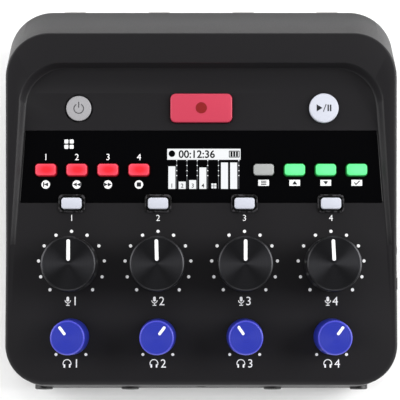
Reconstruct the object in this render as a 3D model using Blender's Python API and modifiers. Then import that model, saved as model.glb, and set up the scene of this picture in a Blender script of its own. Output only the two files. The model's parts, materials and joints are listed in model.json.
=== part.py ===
"""A desktop podcast recorder with four microphone channels, built piece by piece.

Lengths are in metres, +Z is up and the front faces -Y. The origin lies on the surface that the
recorder stands on, below its middle. Everything on the control panel hangs on the empty panel_frame,
whose X and Y run along the tilted panel and whose Z is the panel's normal.
"""

import math

import bmesh
import bpy
from mathutils import Matrix

# Fits that every piece shares
CLEARANCE = 0.0003
OVERRUN = 0.002
CORNER_STEPS = 6
ROUND_STEPS = 16
HIDDEN_STEPS = 8

# Housing: plan, heights above the standing surface, and the slopes of the panel and of the raised rim
BODY_WIDTH = 0.142
BODY_DEPTH = 0.1375
PANEL_TILT = math.radians(6.0)
RIM_TILT = math.radians(10.3)
RIM_START = 0.0504
SHOULDER_RUN = 0.0113
CREASE_FRONT_HEIGHT = 0.022
CREASE_REAR_HEIGHT = 0.033
FRONT_CORNER = 0.0145
REAR_CORNER = 0.016
TOP_ROUND = 0.001
SIDE_WALL = 0.0022
PANEL_WALL = 0.0026
PARTING_HEIGHT = 0.007

# Recess in the rim: the loop on the rim and the loop on the panel that its wall joins
RECESS_SIDE_LAND = 0.00475
RECESS_FRONT_LAND = 0.00127
RECESS_RIM_CORNER = 0.014
RECESS_REAR_LAND = 0.0108
RECESS_WALL_RUN_SIDE = 0.00255
RECESS_WALL_RUN_REAR = 0.0011
RECESS_FLOOR_CORNER = 0.013

# Control panel layout: the rows are shares of the panel's run from the front edge to the recess's rear
PANEL_ORIGIN_SHARE = 0.5818
VOLUME_ROW_SHARE = -0.4307
GAIN_ROW_SHARE = -0.2036
KEY_ROW_SHARE = 0.0957
TOP_ROW_SHARE = 0.2915
COLUMN_COUNT = 4
COLUMN_FROM_SIDE = 0.0239
KEY_FROM_SIDE = 0.0144
KEY_FROM_DISPLAY = 0.0082
ROUND_BUTTON_FROM_SIDE = 0.0263

# Lower case
UNDERSIDE_HEIGHT = 0.002
BOTTOM_CHAMFER = 0.0025
FLOOR_WALL = 0.0022
TONGUE_THICKNESS = 0.0012
TONGUE_HEIGHT = 0.0012
STANDOFF_RADIUS = 0.003
FOOT_RADIUS = 0.006
FOOT_SEAT_DEPTH = 0.0003
FOOT_INSET = 0.015

# Posts that take the case screws
POST_RADIUS = 0.0028
POST_INSET = 0.0075
POST_FROM_FRONT = 0.02475
POST_FROM_REAR = 0.02675
SCREW_HOLE_RADIUS = 0.0016
SCREW_HEAD_RADIUS = 0.0028
SCREW_HEAD_DEPTH = 0.0009
PILOT_RADIUS = 0.0011
PILOT_DEPTH = 0.008

# Battery box for four AA cells side by side, its door and its contacts
CELL_DIAMETER = 0.0145
CELL_LENGTH = 0.0505
CELL_COUNT = 4
BOX_SIDE_PLAY = 0.0005
BOX_ROOF_PLAY = 0.0007
BOX_WALL = 0.0025
BOX_ROOF = 0.0015
BOX_REAR_GAP = 0.0021
BOX_HEADROOM = 0.00129
DOOR_THICKNESS = 0.002
DOOR_LEDGE = 0.001
LUG_WIDTH = 0.006
LUG_SIDE = 0.02
LUG_REACH = 0.0012
LUG_THICKNESS = 0.0014
LUG_LIFT = 0.0012
LUG_ROOT = 0.0013
SCOOP_WIDTH = 0.014
SCOOP_LENGTH = 0.006
SCOOP_DEPTH = 0.0012
CONTACT_THICKNESS = 0.0005
CONTACT_HEIGHT = 0.009
SPRING_LENGTH = 0.003
SPRING_RADIUS = 0.0035
SPRING_TIP_RADIUS = 0.0015
BUTTON_CONTACT_LENGTH = 0.0008

# Boards
BOARD_THICKNESS = 0.0016
CONTROL_BOARD_DROP = 0.0096
CONTROL_BOARD_FRONT_MARGIN = 0.007
CONTROL_BOARD_REAR_MARGIN = 0.008
BOSS_RADIUS = 0.0025
BOSS_FROM_SIDE = 0.016
BOSS_FROM_TOP_ROW = 0.0102
SWITCH_SIDE = 0.006
SWITCH_HEIGHT = 0.0025
PLUNGER_SIDE = 0.003
PLUNGER_HEIGHT = 0.0007
IO_BOARD_EDGE_GAP = 0.0005
STANDOFF_HEIGHT = 0.0019

# Window strip and display
WINDOW_THICKNESS = 0.0012
WINDOW_FROM_MUTES = 0.0002
WINDOW_FROM_TOP_ROW = 0.0081
WINDOW_SIDE_GAP = 0.00001
WINDOW_CORNER = 0.0008
DISPLAY_WIDTH = 0.029
DISPLAY_DEPTH = 0.0164
DISPLAY_X = 0.0009
DISPLAY_FROM_KEYS = 0.0003
MUTES_FROM_DISPLAY = 0.0044

# Potentiometers and knobs
POT_SIDE = 0.011
SHAFT_RADIUS = 0.003
SHAFT_DEPTH = 0.0065
POT_BORE_SPARE = 0.0007
SHAFT_HOLE_GAP = 0.0005
KNOB_LIFT = 0.0008
KNOB_BOSS_WALL = 0.0015
GAIN_TOP_RADIUS = 0.0096
GAIN_SKIRT_RADIUS = 0.0099
GAIN_HEIGHT = 0.014
GAIN_CHAMFER = 0.0007
GAIN_WALL = 0.0019
GAIN_CAP = 0.0035
GAIN_STEPS = 26
GAIN_POINTER_WIDTH = 0.00145
GAIN_POINTER_INNER = 0.00105
GAIN_POINTER_OUTER = 0.00865
VOLUME_TOP_RADIUS = 0.0061
VOLUME_SKIRT_RADIUS = 0.0066
VOLUME_HEIGHT = 0.016
VOLUME_CHAMFER = 0.0005
VOLUME_WALL = 0.0012
VOLUME_CAP = 0.005
VOLUME_STEPS = 20
VOLUME_POINTER_WIDTH = 0.001
VOLUME_POINTER_INNER = 0.0013
VOLUME_POINTER_OUTER = 0.0049
POINTER_DEPTH = 0.0004
# Where each headphone pointer rests, counterclockwise from straight back
VOLUME_POINTER_ANGLES = (math.radians(37), math.radians(-37), math.radians(34), math.radians(-37))

# Buttons: cap size, how far it stands above the panel and how far it travels
BUTTON_FLANGE = 0.0008
BUTTON_FLANGE_THICKNESS = 0.001
BUTTON_STEM = 0.003
BUTTON_CORNER = 0.0006
BUTTON_ROUND = 0.0003
BUTTON_TRAVEL = 0.0005
KEY_GAP = 0.0035
KEY_DEPTH = 0.0046
KEY_HEIGHT = 0.0014
MUTE_HEIGHT = 0.0018
MUTE_BEZEL_WIDTH = 0.0096
MUTE_BEZEL_DEPTH = 0.0066
MUTE_BEZEL_HEIGHT = 0.0006
RECORD_WIDTH = 0.0225
RECORD_DEPTH = 0.0105
RECORD_CORNER = 0.002
RECORD_CORNER_STEPS = 3
RECORD_HEIGHT = 0.0018
RECORD_ROUND = 0.0005
POWER_RADIUS = 0.00455
POWER_HEIGHT = 0.0004
POWER_DISH_RADIUS = 0.00615
POWER_DISH_DEPTH = 0.0008
PLAY_RADIUS = 0.00535
PLAY_HEIGHT = 0.0016
ROUND_BUTTON_STEPS = 20

# XLR sockets and their latches
XLR_BODY_RADIUS = 0.0106
XLR_NOSE_RADIUS = 0.0102
XLR_BORE_RADIUS = 0.0094
XLR_INSERT_RADIUS = 0.0076
XLR_INSERT_SETBACK = 0.002
XLR_BORE_DEPTH = 0.014
XLR_LENGTH = 0.0225
XLR_PROUD = 0.0008
XLR_SHOULDER_GAP = 0.0008
XLR_PIN_RADIUS = 0.0013
XLR_PIN_CIRCLE = 0.0038
XLR_PIN_DEPTH = 0.010
XLR_STEPS = 20
LATCH_WIDTH = 0.008
LATCH_HEIGHT = 0.0032
LATCH_FROM_AXIS = 0.0083
LATCH_LENGTH = 0.0095
LATCH_PROUD = 0.001
LATCH_TRAVEL = 0.0015

# Jacks: the bodies stand on a board and the collars pass through the wall
JACK_WIDTH = 0.0064
JACK_HEIGHT = 0.0064
JACK_LENGTH = 0.012
JACK_SETBACK = 0.0014
JACK_BORE_RADIUS = 0.0018
JACK_BORE_DEPTH = 0.013
JACK_COLLAR_RADIUS = 0.00325
JACK_PROUD = 0.0008
JACK_FROM_SIDE = 0.0126
JACK_PITCH = 0.032
SIDE_JACK_COLLAR_RADIUS = 0.00265
SIDE_JACK_PROUD = 0.0016
SIDE_JACK_FROM_SLIDER = 0.01408
SIDE_JACK_DROP = 0.0006
CENTRE_RECESS_RADIUS = 0.0019
CENTRE_RECESS_DEPTH = 0.0012
CENTRE_RECESS_HEIGHT = 0.0165

# Slide switch on the right
SLIDER_LENGTH = 0.0043
SLIDER_HEIGHT = 0.002
SLIDER_TRAVEL = 0.002
SLIDER_PROUD = 0.0016
SLIDER_FROM_GAIN = 0.0069
SLIDE_BODY_LENGTH = 0.0085
SLIDE_BODY_HEIGHT = 0.0036
SLIDE_BODY_GAP = 0.0025
SLIDE_BODY_WIDTH = 0.009

# Ports on the left
USB_WIDTH = 0.00894
USB_HEIGHT = 0.00326
USB_LENGTH = 0.0074
USB_SHELL = 0.0004
USB_CORNER_STEPS = 3
USB_TONGUE_WIDTH = 0.0067
USB_TONGUE_HEIGHT = 0.0007
USB_SETBACK = 0.0003
USB_FROM_FRONT = 0.03875
USB_BACK = 0.001
CARD_SOCKET_WIDTH = 0.014
CARD_SOCKET_LENGTH = 0.015
CARD_SOCKET_HEIGHT = 0.0022
CARD_SLOT_WIDTH = 0.0114
CARD_SLOT_HEIGHT = 0.001
CARD_SLOT_LENGTH = 0.013
CARD_FROM_FRONT = 0.06875

# Places that follow from the sizes above
FRONT_Y = -BODY_DEPTH / 2
REAR_Y = BODY_DEPTH / 2
BEND_Y = FRONT_Y + RIM_START
TOP_REAR_Y = REAR_Y - SHOULDER_RUN
RECESS_RIM_REAR_Y = TOP_REAR_Y - RECESS_REAR_LAND
RECESS_FLOOR_REAR_Y = RECESS_RIM_REAR_Y - RECESS_WALL_RUN_REAR
RECESS_SIDE_RUN = RECESS_RIM_REAR_Y - RECESS_RIM_CORNER - BEND_Y
RECESS_SPLAY = math.atan2(RECESS_SIDE_LAND - RECESS_FRONT_LAND, RECESS_SIDE_RUN)
PANEL_RUN = (RECESS_FLOOR_REAR_Y - FRONT_Y) / math.cos(PANEL_TILT)
PANEL_Y = FRONT_Y + PANEL_ORIGIN_SHARE * (RECESS_FLOOR_REAR_Y - FRONT_Y)
VOLUME_ROW = VOLUME_ROW_SHARE * PANEL_RUN
GAIN_ROW = GAIN_ROW_SHARE * PANEL_RUN
KEY_ROW = KEY_ROW_SHARE * PANEL_RUN
TOP_ROW = TOP_ROW_SHARE * PANEL_RUN
BOSS_FRONT_ROW = (VOLUME_ROW + GAIN_ROW) / 2
BOSS_REAR_ROW = TOP_ROW - BOSS_FROM_TOP_ROW
WINDOW_REAR_ROW = TOP_ROW - WINDOW_FROM_TOP_ROW
DISPLAY_ROW = KEY_ROW + DISPLAY_FROM_KEYS
MUTE_ROW = DISPLAY_ROW - DISPLAY_DEPTH / 2 - MUTES_FROM_DISPLAY
WINDOW_FRONT_ROW = MUTE_ROW + WINDOW_FROM_MUTES
SLIDER_ROW = GAIN_ROW - SLIDER_FROM_GAIN
INNER_HALF_WIDTH = BODY_WIDTH / 2 - SIDE_WALL
INNER_REAR_Y = REAR_Y - SIDE_WALL
FLOOR_HEIGHT = UNDERSIDE_HEIGHT + FLOOR_WALL
IO_BOARD_HEIGHT = FLOOR_HEIGHT + STANDOFF_HEIGHT + CLEARANCE
IO_BOARD_TOP = IO_BOARD_HEIGHT + BOARD_THICKNESS
IO_SEAT = IO_BOARD_TOP + CLEARANCE
POST_X = BODY_WIDTH / 2 - POST_INSET
POST_PLACES = [
    (side * POST_X, y)
    for side in (-1, 1)
    for y in (FRONT_Y + POST_FROM_FRONT, REAR_Y - POST_FROM_REAR)
]
WINDOW_POCKET = WINDOW_THICKNESS + CLEARANCE
FLANGE_TOP = -PANEL_WALL - CLEARANCE
SWITCH_TOP = -CONTROL_BOARD_DROP + SWITCH_HEIGHT + PLUNGER_HEIGHT
STEM_BOTTOM = SWITCH_TOP + BUTTON_TRAVEL + CLEARANCE
BOX_HALF_WIDTH = CELL_COUNT * CELL_DIAMETER / 2 + BOX_SIDE_PLAY
CONTACT_STACK = 2 * (CLEARANCE + CONTACT_THICKNESS) + SPRING_LENGTH + BUTTON_CONTACT_LENGTH
BOX_HALF_LENGTH = (CELL_LENGTH + CONTACT_STACK) / 2
DOOR_TOP = UNDERSIDE_HEIGHT + DOOR_THICKNESS
BOX_CEILING = DOOR_TOP + CLEARANCE + CELL_DIAMETER + BOX_ROOF_PLAY
XLR_AXIS_HEIGHT = IO_SEAT + XLR_BODY_RADIUS
XLR_FACE_Y = REAR_Y + XLR_PROUD
BOX_Y = XLR_FACE_Y - XLR_LENGTH - BOX_REAR_GAP - BOX_WALL - BOX_HALF_LENGTH
BOX_RUN = BOX_Y - BOX_HALF_LENGTH - BOX_WALL - FRONT_Y
BOARD_BOTTOM_DROP = (CONTROL_BOARD_DROP + BOARD_THICKNESS) / math.cos(PANEL_TILT)
BOX_TOP = BOX_CEILING + BOX_ROOF
# The panel starts just high enough for its board to clear the battery box
FRONT_HEIGHT = BOX_TOP + BOX_HEADROOM + BOARD_BOTTOM_DROP - BOX_RUN * math.tan(PANEL_TILT)
COLUMN_PITCH = (BODY_WIDTH - 2 * COLUMN_FROM_SIDE) / (COLUMN_COUNT - 1)
COLUMNS = [(k - (COLUMN_COUNT - 1) / 2) * COLUMN_PITCH for k in range(COLUMN_COUNT)]
KEY_FIRST = DISPLAY_WIDTH / 2 + KEY_FROM_DISPLAY
KEY_PITCH = (BODY_WIDTH / 2 - KEY_FROM_SIDE - KEY_FIRST) / (COLUMN_COUNT - 1)
KEY_WIDTH = KEY_PITCH - KEY_GAP
KEYS_RIGHT = [KEY_FIRST + k * KEY_PITCH for k in range(COLUMN_COUNT)]
KEYS_LEFT = [-x for x in reversed(KEYS_RIGHT)]
ROUND_BUTTON_SIDE = BODY_WIDTH / 2 - ROUND_BUTTON_FROM_SIDE
JACK_OUTER_SIDE = BODY_WIDTH / 2 - JACK_FROM_SIDE
JACK_INNER_SIDE = JACK_OUTER_SIDE - JACK_PITCH
JACK_PLACES = [-JACK_OUTER_SIDE, -JACK_INNER_SIDE, JACK_INNER_SIDE, JACK_OUTER_SIDE]
RECESS_RIM_HALF = BODY_WIDTH / 2 - RECESS_SIDE_LAND
RECESS_FLOOR_HALF = RECESS_RIM_HALF - RECESS_WALL_RUN_SIDE

FACING_REAR = (-math.pi / 2, 0, 0)
FACING_FRONT = (math.pi / 2, 0, 0)
FACING_RIGHT = (0, math.pi / 2, 0)
FACING_LEFT = (0, -math.pi / 2, 0)


def panel_height(y):
    """Height of the panel's plane at a depth y."""
    return FRONT_HEIGHT + (y - FRONT_Y) * math.tan(PANEL_TILT)


def top_height(y):
    """Height of the housing's top: the panel in front, and the steeper rim behind the bend."""
    if y <= BEND_Y:
        return panel_height(y)
    return panel_height(BEND_Y) + (y - BEND_Y) * math.tan(RIM_TILT)


def crease_height(y):
    """Height of the line where the rear shoulder starts."""
    share = (y - FRONT_Y) / BODY_DEPTH
    return CREASE_FRONT_HEIGHT + share * (CREASE_REAR_HEIGHT - CREASE_FRONT_HEIGHT)


def start_scene():
    for old in list(bpy.data.objects):
        bpy.data.objects.remove(old, do_unlink=True)
    parts = bpy.data.collections.new("podcast_recorder")
    cutters = bpy.data.collections.new("cutters")
    for group in (parts, cutters):
        bpy.context.scene.collection.children.link(group)
    return parts, cutters


PARTS, CUTTERS = start_scene()


def make_panel_frame():
    frame = bpy.data.objects.new("panel_frame", None)
    frame.location = (0, PANEL_Y, panel_height(PANEL_Y))
    frame.rotation_euler = (PANEL_TILT, 0, 0)
    PARTS.objects.link(frame)
    return frame


PANEL = make_panel_frame()


def finish(name, colour, roughness, metallic=0.0):
    """A material with one colour, made once and then reused."""
    if name in bpy.data.materials:
        return bpy.data.materials[name]
    material = bpy.data.materials.new(name)
    material.use_nodes = True
    shader = material.node_tree.nodes["Principled BSDF"]
    shader.inputs["Base Color"].default_value = (*colour, 1)
    shader.inputs["Roughness"].default_value = roughness
    shader.inputs["Metallic"].default_value = metallic
    return material


def textured_plastic():
    return finish("textured_black_plastic", (0.03, 0.028, 0.03), 0.55)


def knob_plastic():
    return finish("black_knob_plastic", (0.012, 0.012, 0.013), 0.3)


def blue_plastic():
    return finish("blue_knob_plastic", (0.027, 0.047, 0.53), 0.35)


def socket_plastic():
    return finish("socket_plastic", (0.015, 0.015, 0.016), 0.4)


def plated_metal():
    return finish("nickel_plate", (0.55, 0.54, 0.52), 0.3, 1.0)


def solder_mask():
    return finish("green_solder_mask", (0.01, 0.09, 0.04), 0.45)


def add_piece(name, mesh, material, parent=None, at=(0, 0, 0), turned=(0, 0, 0)):
    piece = bpy.data.objects.new(name, mesh)
    piece.parent = parent
    piece.location = at
    piece.rotation_euler = turned
    if not mesh.materials:
        mesh.materials.append(material)
    PARTS.objects.link(piece)
    return piece


def add_tool(group, mesh, parent=None, at=(0, 0, 0), turned=(0, 0, 0)):
    """A hidden helper for a Boolean, kept in the collection of what it shapes."""
    tool = bpy.data.objects.new(f"{group.name}_tool", mesh)
    tool.parent = parent
    tool.location = at
    tool.rotation_euler = turned
    tool.hide_render = True
    tool.display_type = "WIRE"
    group.objects.link(tool)
    return tool


def tool_group(name):
    group = bpy.data.collections.new(name)
    CUTTERS.children.link(group)
    return group


def shape_with(piece, group, operation):
    modifier = piece.modifiers.new(group.name, "BOOLEAN")
    modifier.operation = operation
    modifier.operand_type = "COLLECTION"
    modifier.collection = group
    modifier.solver = "EXACT"


def mesh_from(name, bm):
    mesh = bpy.data.meshes.new(name)
    bmesh.ops.recalc_face_normals(bm, faces=bm.faces)
    bm.to_mesh(mesh)
    bm.free()
    mesh.shade_smooth()
    mesh.set_sharp_from_angle(angle=math.radians(35))
    return mesh


def block(name, width, depth, height, corner=0.0, steps=1):
    """A block that stands on its XY plane, with its upright edges cut or rounded."""
    bm = bmesh.new()
    bmesh.ops.create_cube(bm, size=1)
    bmesh.ops.scale(bm, vec=(width, depth, height), verts=bm.verts)
    bmesh.ops.translate(bm, vec=(0, 0, height / 2), verts=bm.verts)
    if corner:
        upright = [e for e in bm.edges if abs(e.verts[0].co.z - e.verts[1].co.z) > height / 2]
        bmesh.ops.bevel(bm, geom=upright, offset=corner, affect="EDGES", segments=steps, profile=0.5)
    return mesh_from(name, bm)


def drum(name, radius, height, steps=ROUND_STEPS, top_radius=None):
    """A cylinder or a cone that stands on its XY plane."""
    bm = bmesh.new()
    top = radius if top_radius is None else top_radius
    bmesh.ops.create_cone(
        bm, cap_ends=True, segments=steps, radius1=radius, radius2=top, depth=height
    )
    bmesh.ops.translate(bm, vec=(0, 0, height / 2), verts=bm.verts)
    return mesh_from(name, bm)


def arc(centre_x, centre_y, radius, start, end):
    """Points of a corner, from one angle to another."""
    angles = [start + (end - start) * k / CORNER_STEPS for k in range(CORNER_STEPS + 1)]
    return [(centre_x + radius * math.cos(a), centre_y + radius * math.sin(a)) for a in angles]


def mirrored(half):
    """A whole loop from its right-hand half, which runs from the front to the rear."""
    return half + [(-x, y) for x, y in reversed(half)]


def plan_outline(inset, rear_y):
    """Plan of the housing, with a point on each side where the rim starts to rise."""
    half_width = BODY_WIDTH / 2 - inset
    front_radius = FRONT_CORNER - inset
    rear_radius = REAR_CORNER - inset
    front = arc(
        half_width - front_radius, FRONT_Y + inset + front_radius, front_radius, -math.pi / 2, 0
    )
    rear = arc(half_width - rear_radius, rear_y - inset - rear_radius, rear_radius, 0, math.pi / 2)
    return mirrored(front + [(half_width, BEND_Y)] + rear)


def recess_outline(half_width, rear_y, radius):
    """Plan of the recess behind the bend: splayed sides and round rear corners, open at the front."""
    centre_x = half_width - radius * math.cos(RECESS_SPLAY)
    centre_y = rear_y - radius
    corner = arc(centre_x, centre_y, radius, RECESS_SPLAY, math.pi / 2)
    spread = (corner[0][1] - BEND_Y) * math.tan(RECESS_SPLAY)
    return mirrored([(corner[0][0] + spread, BEND_Y)] + corner)


def recess_floor_outline():
    return recess_outline(RECESS_FLOOR_HALF, RECESS_FLOOR_REAR_Y, RECESS_FLOOR_CORNER)


def ring_at(bm, outline, height):
    """Vertices over a plan outline, at the height that a function or a number gives."""
    return [bm.verts.new((x, y, height(y) if callable(height) else height)) for x, y in outline]


def join_rings(bm, lower, upper, closed=True):
    count = len(lower)
    for k in range(count if closed else count - 1):
        n = (k + 1) % count
        bm.faces.new((lower[k], lower[n], upper[n], upper[k]))


def loft(name, sections):
    """A closed solid through plan outlines, each with its height."""
    bm = bmesh.new()
    rings = [ring_at(bm, outline, height) for outline, height in sections]
    for lower, upper in zip(rings, rings[1:]):
        join_rings(bm, lower, upper)
    bm.faces.new(list(reversed(rings[0])))
    bm.faces.new(rings[-1])
    return mesh_from(name, bm)


def rounded_rectangle(width, depth, corner, steps=1):
    """A rectangle's outline, each corner cut in this many straight steps."""
    points = []
    for turn, (sx, sy) in enumerate(((1, 1), (-1, 1), (-1, -1), (1, -1))):
        for k in range(steps + 1):
            a = (turn + k / steps) * math.pi / 2
            x = sx * (width / 2 - corner) + corner * math.cos(a)
            y = sy * (depth / 2 - corner) + corner * math.sin(a)
            points.append((x, y))
    return points


def turned(name, profile):
    """The profile of a turned piece, from the top of its axis down its outer side."""
    bm = bmesh.new()
    points = [bm.verts.new((r, 0, z)) for r, z in profile]
    for upper, lower in zip(points, points[1:]):
        bm.edges.new((upper, lower))
    mesh = bpy.data.meshes.new(name)
    bm.to_mesh(mesh)
    bm.free()
    return mesh


def spin(piece, steps):
    screw = piece.modifiers.new("turned", "SCREW")
    screw.axis = "Z"
    screw.steps = steps
    screw.render_steps = steps
    screw.use_merge_vertices = True
    screw.merge_threshold = 0.00001
    screw.use_smooth_shade = True
    return piece


def housing_mesh():
    """The outer form of the upper case: walls, rear shoulder, rounded edge, rim, recess and panel."""
    edge = [(TOP_ROUND * (1 - math.cos(a)), TOP_ROUND * (1 - math.sin(a)))
            for a in (0, math.pi / 4, math.pi / 2)]
    bm = bmesh.new()
    rings = [
        ring_at(bm, plan_outline(0, REAR_Y), PARTING_HEIGHT),
        ring_at(bm, plan_outline(0, REAR_Y), crease_height),
    ]
    for inset, drop in edge:
        rings.append(ring_at(bm, plan_outline(inset, TOP_REAR_Y), lambda y: top_height(y) - drop))
    for lower, upper in zip(rings, rings[1:]):
        join_rings(bm, lower, upper)
    bm.faces.new(list(reversed(rings[0])))

    rim_loop = recess_outline(RECESS_RIM_HALF, RECESS_RIM_REAR_Y, RECESS_RIM_CORNER)
    rim = ring_at(bm, rim_loop, top_height)
    floor = ring_at(bm, recess_floor_outline(), panel_height)
    outer = rings[-1]
    bend = CORNER_STEPS + 1
    behind = outer[bend:-bend]
    join_rings(bm, behind, rim, closed=False)
    join_rings(bm, rim, floor, closed=False)
    bm.faces.new(outer[-bend - 1:] + outer[:bend + 1] + [rim[0]] + floor + [rim[-1]])
    return mesh_from("upper_case", bm)


def hollow_mesh():
    """The space inside the upper case, a wall's thickness in from every outer face."""
    lean = math.tan(PANEL_TILT)
    slope = SHOULDER_RUN / (top_height(TOP_REAR_Y) - CREASE_REAR_HEIGHT)
    drop = PANEL_WALL / math.cos(PANEL_TILT)
    rise = top_height(TOP_REAR_Y) - panel_height(0) + drop
    level = TOP_REAR_Y + rise * slope - SIDE_WALL * math.hypot(1, slope)
    rear_y = level / (1 + slope * lean) + SIDE_WALL
    return loft(
        "upper_case_hollow",
        [
            (plan_outline(SIDE_WALL, REAR_Y), PARTING_HEIGHT - OVERRUN),
            (plan_outline(SIDE_WALL, REAR_Y), lambda y: crease_height(y) - SIDE_WALL * slope / 2),
            (plan_outline(SIDE_WALL, rear_y), lambda y: panel_height(y) - drop),
        ],
    )


def recess_floor_half(row):
    """Half the recess's width on the panel, at a row of the panel frame."""
    x, y = recess_floor_outline()[0]
    return x - (PANEL_Y + row * math.cos(PANEL_TILT) - y) * math.tan(RECESS_SPLAY)


def window_outline(gap):
    """The strip's four corners, splayed like the recess that it fills from side to side."""
    front = WINDOW_FRONT_ROW + gap
    rear = WINDOW_REAR_ROW - gap
    half_front = recess_floor_half(WINDOW_FRONT_ROW) - WINDOW_SIDE_GAP - gap
    half_rear = recess_floor_half(WINDOW_REAR_ROW) - WINDOW_SIDE_GAP - gap
    cut = WINDOW_CORNER
    half = [
        (half_front - cut, front),
        (half_front, front + cut),
        (half_rear, rear - cut),
        (half_rear - cut, rear),
    ]
    return mirrored(half)


def window_slab(name, gap, bottom, top):
    return loft(name, [(window_outline(gap), bottom), (window_outline(gap), top)])


def panel_cut(group, mesh, x, row):
    add_tool(group, mesh, PANEL, (x, row, -PANEL_WALL - OVERRUN))


def key_places():
    return [(x, KEY_ROW) for x in KEYS_LEFT + KEYS_RIGHT]


def through_block(name, width, depth, corner, steps=1):
    fit = 2 * CLEARANCE
    height = PANEL_WALL + 2 * OVERRUN
    return block(name, width + fit, depth + fit, height, corner + CLEARANCE, steps)


def add_panel_cuts(group):
    height = PANEL_WALL + 2 * OVERRUN
    shaft = drum("shaft_hole", SHAFT_RADIUS + SHAFT_HOLE_GAP, height)
    for x in COLUMNS:
        panel_cut(group, shaft, x, GAIN_ROW)
        panel_cut(group, shaft, x, VOLUME_ROW)
    key = through_block("key_hole", KEY_WIDTH, KEY_DEPTH, BUTTON_CORNER)
    for x, row in key_places():
        panel_cut(group, key, x, row)
    for x in COLUMNS:
        panel_cut(group, key, x, MUTE_ROW)
    record = through_block("record_hole", RECORD_WIDTH, RECORD_DEPTH, RECORD_CORNER, RECORD_CORNER_STEPS)
    panel_cut(group, record, 0, TOP_ROW)
    steps = ROUND_BUTTON_STEPS
    panel_cut(group, drum("power_hole", POWER_RADIUS + CLEARANCE, height, steps), -ROUND_BUTTON_SIDE, TOP_ROW)
    panel_cut(group, drum("play_hole", PLAY_RADIUS + CLEARANCE, height, steps), ROUND_BUTTON_SIDE, TOP_ROW)
    dish = drum("power_dish", POWER_DISH_RADIUS, POWER_DISH_DEPTH + OVERRUN, steps)
    add_tool(group, dish, PANEL, (-ROUND_BUTTON_SIDE, TOP_ROW, -POWER_DISH_DEPTH))
    panel_cut(group, through_block("display_hole", DISPLAY_WIDTH, DISPLAY_DEPTH, 0.0), DISPLAY_X, DISPLAY_ROW)


def jack_axis_height():
    return IO_SEAT + JACK_HEIGHT / 2


def side_jack_place():
    """Depth and axis height of the side jack, which hangs under the tilted control board."""
    y = PANEL_Y + SLIDER_ROW * math.cos(PANEL_TILT) + SIDE_JACK_FROM_SLIDER
    underside = panel_height(y) - (CONTROL_BOARD_DROP + BOARD_THICKNESS) / math.cos(PANEL_TILT)
    return y, underside - SIDE_JACK_DROP - JACK_HEIGHT / 2


def latch_slot(name, length):
    fit = 2 * CLEARANCE
    return block(name, LATCH_WIDTH + fit, LATCH_HEIGHT + fit, length)


def add_wall_cuts(group):
    """Openings in the front, rear, left and right walls."""
    depth = SIDE_WALL + JACK_SETBACK + 2 * OVERRUN
    front = drum("front_jack_hole", JACK_COLLAR_RADIUS + CLEARANCE, depth)
    for x in JACK_PLACES:
        at = (x, FRONT_Y + depth - OVERRUN, jack_axis_height())
        add_tool(group, front, None, at, FACING_FRONT)
    recess = drum("centre_recess", CENTRE_RECESS_RADIUS, CENTRE_RECESS_DEPTH + OVERRUN)
    at = (0, FRONT_Y + CENTRE_RECESS_DEPTH, CENTRE_RECESS_HEIGHT)
    add_tool(group, recess, None, at, FACING_FRONT)

    wall = SIDE_WALL + 2 * OVERRUN
    rear = drum("xlr_hole", XLR_NOSE_RADIUS + CLEARANCE, wall, XLR_STEPS)
    slot = latch_slot("latch_hole", wall)
    for x in COLUMNS:
        add_tool(group, rear, None, (x, INNER_REAR_Y - OVERRUN, XLR_AXIS_HEIGHT), FACING_REAR)
        height = XLR_AXIS_HEIGHT + LATCH_FROM_AXIS + LATCH_HEIGHT / 2
        add_tool(group, slot, None, (x, INNER_REAR_Y - OVERRUN, height), FACING_REAR)

    side_y, side_z = side_jack_place()
    side = drum("side_jack_hole", SIDE_JACK_COLLAR_RADIUS + CLEARANCE, wall)
    add_tool(group, side, None, (INNER_HALF_WIDTH - OVERRUN, side_y, side_z), FACING_RIGHT)
    slide = block(
        "slider_slot", wall, SLIDER_LENGTH + SLIDER_TRAVEL + 2 * CLEARANCE, SLIDER_HEIGHT + 2 * CLEARANCE
    )
    at = (BODY_WIDTH / 2 - SIDE_WALL / 2, SLIDER_ROW - SLIDER_TRAVEL / 2, slider_level() - CLEARANCE)
    add_tool(group, slide, PANEL, at)

    usb = block("usb_hole", wall, USB_WIDTH + 2 * CLEARANCE, USB_HEIGHT + 2 * CLEARANCE)
    middle = -BODY_WIDTH / 2 + SIDE_WALL / 2
    add_tool(group, usb, None, (middle, FRONT_Y + USB_FROM_FRONT, IO_SEAT - CLEARANCE))
    card = block("card_hole", wall, CARD_SLOT_WIDTH + 2 * CLEARANCE, CARD_SLOT_HEIGHT + 2 * CLEARANCE)
    level = IO_SEAT + (CARD_SOCKET_HEIGHT - CARD_SLOT_HEIGHT) / 2 - CLEARANCE
    add_tool(group, card, None, (middle, FRONT_Y + CARD_FROM_FRONT, level))


def boss_places():
    side = BODY_WIDTH / 2 - BOSS_FROM_SIDE
    return [(x, row) for row in (BOSS_FRONT_ROW, BOSS_REAR_ROW) for x in (-side, 0, side)]


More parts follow.
